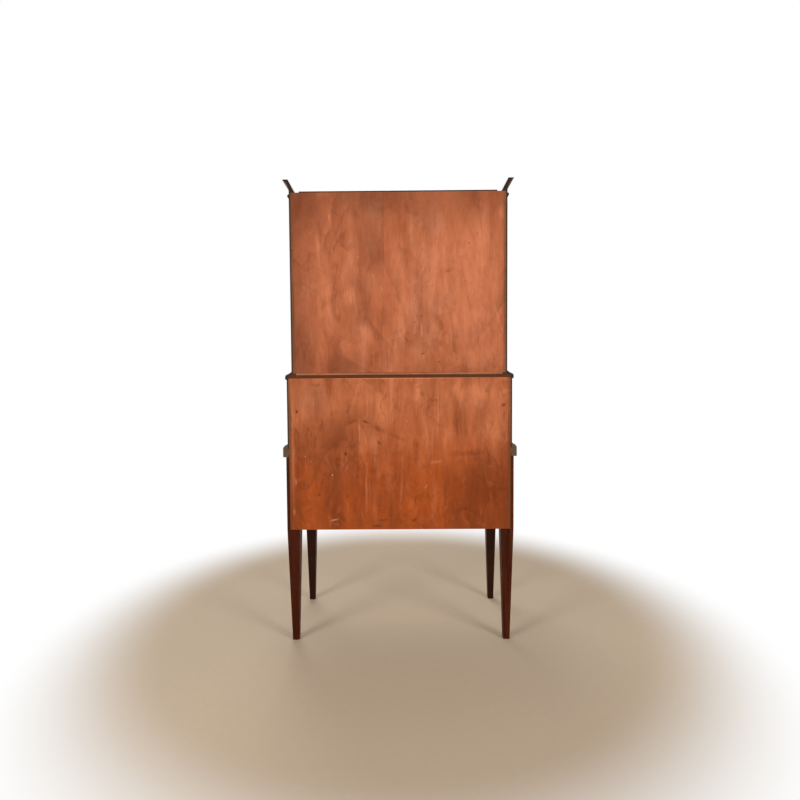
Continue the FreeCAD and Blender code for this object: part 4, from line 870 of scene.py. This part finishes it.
def lay_floor():
    """A pale floor that passes into the white background away from the desk."""
    mesh = bpy.data.meshes.new("floor")
    corners = [(x, y, 0) for x, y in ((-1, -1), (1, -1), (1, 1), (-1, 1))]
    mesh.from_pydata([Vector(c) * FLOOR_REACH for c in corners], [], [(0, 1, 2, 3)])
    floor = bpy.data.objects.new("floor", mesh)
    bpy.context.scene.collection.objects.link(floor)
    paint = Paint("floor")
    specks = paint.noise(paint.place, 40, detail=5, roughness=0.7)
    colour = paint.mix(paint.step(specks, 0.3, 0.7, 0.0, 0.12), FLOOR_TONE, FLOOR_SPECKS)
    paint.finish(colour, 0.8)
    away = paint.step(paint.vector("LENGTH", paint.place), *POOL)
    glow = paint.add("ShaderNodeEmission", WHITE, 1.0)
    share = paint.math("MULTIPLY", away, background_share(paint.tree))
    shade = paint.add("ShaderNodeMixShader", share, paint.shader.outputs[0], glow.outputs[0])
    paint.tree.links.new(shade.outputs[0], paint.tree.nodes["Material Output"].inputs["Surface"])
    mesh.materials.append(paint.material)


def light_lamps():
    """Disc lamps that all face the middle of the desk, and aren't seen themselves."""
    for name, (place, size, power) in LAMPS.items():
        light = bpy.data.lights.new(name, "AREA")
        light.shape = "DISK"
        light.size = size
        light.energy = power
        holder = bpy.data.objects.new(name, light)
        holder.location = place
        holder.rotation_euler = (Vector(LAMP_TARGET) - Vector(place)).to_track_quat("-Z", "Y").to_euler()
        holder.visible_camera = False
        holder.visible_transmission = False
        bpy.context.scene.collection.objects.link(holder)


# Camera, where the photograph was taken from
CAMERA_PLACE = Vector((-15.8, 2303.8, 1051.6)) * MM
CAMERA_YAW = -0.0065
CAMERA_PITCH = 0.0446
CAMERA_ROLL = 0.0071
FOCAL_PIXELS = 533.0
FRAME_PIXELS = 800.0
SENSOR = 36.0


def set_camera():
    """The same view as the photograph's."""
    camera = bpy.data.cameras.new("camera")
    camera.sensor_width = SENSOR
    camera.lens = FOCAL_PIXELS / FRAME_PIXELS * SENSOR
    holder = bpy.data.objects.new("camera", camera)
    facing_back = Matrix.Rotation(math.pi, 4, "Z") @ Matrix.Rotation(math.pi / 2, 4, "X")
    turned = (Matrix.Rotation(-CAMERA_YAW, 4, "Y") @ Matrix.Rotation(-CAMERA_PITCH, 4, "X")
              @ Matrix.Rotation(-CAMERA_ROLL, 4, "Z"))
    holder.matrix_world = Matrix.Translation(CAMERA_PLACE) @ facing_back @ turned
    bpy.context.scene.collection.objects.link(holder)
    bpy.context.scene.camera = holder


# Screws in the hinge leaves
SCREW_RADIUS = 2.6 * MM
SCREW_SEAT = 2.85 * MM
SCREW_RISE = 0.18 * MM
SEAT_RISE = 0.15 * SCREW_RISE
SCREW_SINK = 0.3 * MM
SCREW_BEVEL = 0.14 * MM
SCREW_SLOT = 0.8 * MM
SCREW_SIDES = 14
SCREW_ROW = ((-1, 0), (0, 1), (1, 0))
# How the slots are turned: in the first screw, and from screw to screw and from leaf to leaf
FIRST_TURN, SCREW_TURN, LEAF_TURN = 0.9, 1.7, 2.3
# Leaves of both kinds of hinge: length, how far in from the edge the screws sit, and the step between them
FLAP_LEAF, FLAP_SCREW_IN, FLAP_SCREW_STEP = 64 * MM, 13 * MM, Vector((21, 6, 0)) * MM
DOOR_LEAF, DOOR_SCREW_IN, DOOR_SCREW_STEP = 56 * MM, 10.8 * MM, Vector((0, 4, 18)) * MM


def add_prism(shape, outline, low, high, place, index, inset=0.0):
    """A closed block over a flat outline, with its top drawn in by inset, set up at place."""
    count = len(outline)
    middle = sum((Vector((*point, 0)) for point in outline), Vector()) / count
    rings = []
    for level, draw in ((low, 0.0), (high, inset)):
        ring = []
        for point in outline:
            spot = Vector((*point, 0))
            spot += (middle - spot).normalized() * draw
            ring.append(shape.verts.new(place @ (spot + Vector((0, 0, level)))))
        rings.append(ring)
    bottom, top = rings
    faces = [shape.faces.new(top), shape.faces.new(reversed(bottom))]
    for k in range(count):
        after = (k + 1) % count
        faces.append(shape.faces.new((bottom[k], bottom[after], top[after], top[k])))
    for face in faces:
        face.material_index = index


def add_screw(shape, centre, outward, turn):
    """A countersunk head: two half discs with a slot between them, in a dark seat of dirt that also stands
    as painted shade in the groove round the head.
    """
    place = (Matrix.Translation(centre) @ outward.to_track_quat("Z", "Y").to_matrix().to_4x4()
             @ Matrix.Rotation(turn, 4, "Z"))
    start = math.asin(SCREW_SLOT / 2 / SCREW_RADIUS)
    for half in (0, math.pi):
        angles = [half + start + (math.pi - 2 * start) * k / SCREW_SIDES for k in range(SCREW_SIDES + 1)]
        arc = [(SCREW_RADIUS * math.cos(a), SCREW_RADIUS * math.sin(a)) for a in angles]
        add_prism(shape, arc, -SCREW_SINK, SCREW_RISE, place, 0, SCREW_BEVEL)
    # The seat shows round the head and in the slot: dirt, and painted shade of the groove
    angles = [math.pi * k / SCREW_SIDES for k in range(2 * SCREW_SIDES)]
    rim = [(SCREW_SEAT * math.cos(a), SCREW_SEAT * math.sin(a)) for a in angles]
    add_prism(shape, rim, -SCREW_SINK, SEAT_RISE, place, 1)


def screws(name, body, middles, step, outward):
    """Three screws in each leaf of a body, their slots turned as they came to rest."""
    shape = bmesh.new()
    for which, middle in enumerate(middles):
        for k, (along, across) in enumerate(SCREW_ROW):
            offset = Vector((along * step.x, across * step.y, along * step.z))
            turn = FIRST_TURN + SCREW_TURN * k + LEAF_TURN * which
            add_screw(shape, Vector(middle) + offset, Vector(outward[which]), turn)
    mesh = bpy.data.meshes.new(name)
    shape.to_mesh(mesh)
    shape.free()
    piece = bpy.data.objects.new(name, mesh)
    bpy.context.scene.collection.objects.link(piece)
    mesh.materials.append(BRASS)
    mesh.materials.append(GRIME_AND_SHADE)
    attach(piece, body)


def flap_screws():
    """The screws of the flap's hinges, in the desk board and in the flap."""
    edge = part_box("flap_hinge_plates")[1]
    board_top, flap_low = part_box("desk_board")[1].z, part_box("writing_flap")[0].z
    reach, row = edge.x - FLAP_LEAF / 2, edge.y - FLAP_SCREW_IN
    for name, body, level, way in (("board_hinge_screws", "root", board_top, 1),
                                   ("flap_hinge_screws", "flap", flap_low, -1)):
        middles = [(side * reach, row, level) for side in (-1, 1)]
        screws(name, body, middles, FLAP_SCREW_STEP, [(0, 0, way)] * 2)


def door_screws():
    """The screws of the doors' hinges, in the sides of the bookcase and in the doors."""
    low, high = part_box("door_hinge_plates")
    levels, row = (low.z + DOOR_LEAF / 2, high.z - DOOR_LEAF / 2), high.y - DOOR_SCREW_IN
    inside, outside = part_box("bookcase_side_right")[0].x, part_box("door_right_frame")[1].x
    case = [(side * inside, row, z) for side in (-1, 1) for z in levels]
    inward = [(-side, 0, 0) for side in (-1, 1) for z in levels]
    screws("case_hinge_screws", "root", case, DOOR_SCREW_STEP, inward)
    for side, hand in ((-1, "left"), (1, "right")):
        leaves = [(side * outside, row, z) for z in levels]
        screws(f"door_{hand}_screws", f"door_{hand}", leaves, DOOR_SCREW_STEP, [(side, 0, 0)] * 2)


# Finishes

# Tones of the woods: dark, middle, light and worn
MAHOGANY_TONES = ((44, 16, 8), (74, 29, 14), (106, 47, 24), (142, 84, 48))
LEG_TONES = ((44, 16, 6), (70, 27, 10), (90, 38, 15), (124, 66, 34))
INSIDE_TONES = ((66, 27, 13), (98, 44, 22), (128, 66, 35), (150, 94, 56))
GALLERY_TONES = ((86, 40, 20), (124, 66, 35), (152, 88, 48), (170, 112, 68))
POPLAR_TONES = ((142, 102, 62), (172, 132, 86), (194, 156, 108), (200, 164, 118))
DARKENED_POPLAR_TONES = ((46, 24, 14), (66, 36, 21), (84, 48, 29), (98, 62, 40))
# Tones of the back panels: light, middle and dark, and that of the lower panel's foot, which is partly
# stain and partly painted shade
UPPER_TONES = ((211, 131, 94), (187, 106, 69), (153, 80, 46))
LOWER_TONES = ((209, 129, 89), (186, 105, 65), (157, 82, 46))
FOOT_STAIN_AND_SHADE = (168, 77, 28)
# How dull wood is
POLISHED, WAXED = 0.36, 0.45
# How far in from its ends the back of the waist board is darkened
WAIST_END = 12 * MM
WAIST_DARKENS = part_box("waist_board")[1].x - WAIST_END

MAHOGANY = wood("dark_mahogany", MAHOGANY_TONES, POLISHED)
CASE_WOOD = wood("case_mahogany", MAHOGANY_TONES, POLISHED, behind=(62, 50, 42))
CORNICE_WOOD = wood("cornice_mahogany", MAHOGANY_TONES, POLISHED, behind=(40, 35, 29))
WAIST_WOOD = wood("waist_mahogany", MAHOGANY_TONES, POLISHED, behind=(92, 52, 28), ends=WAIST_DARKENS)
# The bookcase floor's back edge: stained like the panels, and made paler by a painted highlight
FLOOR_WOOD = wood("floor_mahogany", MAHOGANY_TONES, POLISHED, behind=(179, 116, 84))
BOARD_WOOD = wood("board_mahogany", MAHOGANY_TONES, POLISHED, behind=(102, 84, 66))
INSIDE_WOOD = wood("case_inside", INSIDE_TONES, rough=0.72, wear=0.4, coat=0.0, shine=0.03)
REAR_LEG = wood("rear_leg_mahogany", LEG_TONES, WAXED, coat=0.0, shine=0.07)
# The front legs' faces towards the back take a painted shade, dark as in the shadow of the case
FRONT_LEG = wood("front_leg_mahogany", LEG_TONES, WAXED, coat=0.0, shine=0.07, behind=(34, 20, 11))
GALLERY_WOOD = wood("gallery_mahogany", GALLERY_TONES, rough=0.4)
POPLAR = wood("poplar", POPLAR_TONES, rough=0.62, wear=0.3, coat=0.0, shine=0.12)
# Poplar in darker tones, for the topmost board
DARKENED_POPLAR = wood("sooty_poplar", DARKENED_POPLAR_TONES, rough=0.7, coat=0.0, shine=0.1)
BRASS = aged_brass("aged_brass")
GRIME_AND_SHADE = grime("grime")
UPPER_PANEL = stained_panel("upper_panel", "upper_back_panel", UPPER_TONES, UPPER_MARKS, UPPER_DEEPENS,
                            UPPER_JOINTS, HALF_FINE)
LOWER_PANEL = stained_panel("lower_panel", "lower_back_panel", LOWER_TONES, LOWER_MARKS, LOWER_DEEPENS,
                            LOWER_JOINTS, FULL_FINE, foot=FOOT_STAIN_AND_SHADE)
BOARD_EDGE = 0.6 * MM
THIN_EDGE = 0.3 * MM
FINE_EDGE = 0.15 * MM

# What each slot of the record takes: its material and the rounding of its edges
SLOT_FINISH = {
    "mahogany": (MAHOGANY, BOARD_EDGE),
    "secondary_wood": (POPLAR, BOARD_EDGE),
    "gallery_wood": (GALLERY_WOOD, THIN_EDGE),
    "brass": (BRASS, FINE_EDGE),
    "glass": (old_glass("old_glass"), FINE_EDGE),
    "steel_pins": (pin_steel("pin_steel"), None),
}
# What single nodes take instead
NODE_FINISH = {
    "upper_back_panel": (UPPER_PANEL, THIN_EDGE),
    "lower_back_panel": (LOWER_PANEL, THIN_EDGE),
    "dust_board": (DARKENED_POPLAR, BOARD_EDGE),
    "cornice": (CORNICE_WOOD, BOARD_EDGE),
    "waist_moulding": (CORNICE_WOOD, BOARD_EDGE),
    "waist_board": (WAIST_WOOD, BOARD_EDGE),
    "bookcase_floor": (FLOOR_WOOD, BOARD_EDGE),
    "bookcase_shelves": (INSIDE_WOOD, BOARD_EDGE),
}
for side in ("left", "right"):
    NODE_FINISH[f"rear_leg_{side}"] = (REAR_LEG, BOARD_EDGE)
    NODE_FINISH[f"front_leg_{side}"] = (FRONT_LEG, BOARD_EDGE)
    for part in ("stage", "bookcase"):
        NODE_FINISH[f"{part}_side_{side}"] = (CASE_WOOD, BOARD_EDGE)
for board in ("desk_board", "stage_bed", "stage_foot_mouldings"):
    NODE_FINISH[board] = (BOARD_WOOD, BOARD_EDGE)
for tier in ("upper", "lower"):
    front = f"{tier}_drawer_front"
    NODE_FINISH[front] = (figured_veneer(f"{tier}_veneer", front), THIN_EDGE)
for place in ("desk", "flap"):
    hide = f"{place}_leather"
    NODE_FINISH[hide] = (tooled_leather(f"{place}_hide", hide), FINE_EDGE)
# Solids of a node, counted from its first, that are of another stuff than the rest
OTHER_SOLIDS = {
    "upper_drawer_front": (MAHOGANY, slice(1, None)),
    "lower_drawer_front": (MAHOGANY, slice(1, None)),
    "loper_left": (BRASS, slice(1, None)),
    "loper_right": (BRASS, slice(1, None)),
}
# Boards whose one face is inside the bookcase: the way that face looks
INSIDE_FACES = {
    "bookcase_side_left": Vector((1, 0, 0)),
    "bookcase_side_right": Vector((-1, 0, 0)),
    "bookcase_floor": Vector((0, 0, 1)),
    "bookcase_top": Vector((0, 0, -1)),
}
# The cosine from which a face looks that way
INSIDE_FACING = 0.9


def dress(name, piece):
    """Gives a piece its finish, solids and faces of another stuff theirs, and its edges their rounding."""
    slot = piece.data.materials[0].name
    material, edge = NODE_FINISH.get(name) or SLOT_FINISH[slot]
    solids = mark_boards(piece)
    piece.data.materials.clear()
    piece.data.materials.append(material)
    if name in OTHER_SOLIDS:
        other, which = OTHER_SOLIDS[name]
        piece.data.materials.append(other)
        for polygons in solids[which]:
            for polygon in polygons:
                polygon.material_index = 1
    if name in INSIDE_FACES:
        piece.data.materials.append(INSIDE_WOOD)
        for polygon in piece.data.polygons:
            if polygon.normal.dot(INSIDE_FACES[name]) > INSIDE_FACING:
                polygon.material_index = 1
    if edge:
        soften(piece, edge)


for name, piece in nodes.items():
    dress(name, piece)

flap_screws()
door_screws()
light_world()
lay_floor()
light_lamps()
set_camera()
bpy.context.scene.view_settings.view_transform = "Standard"
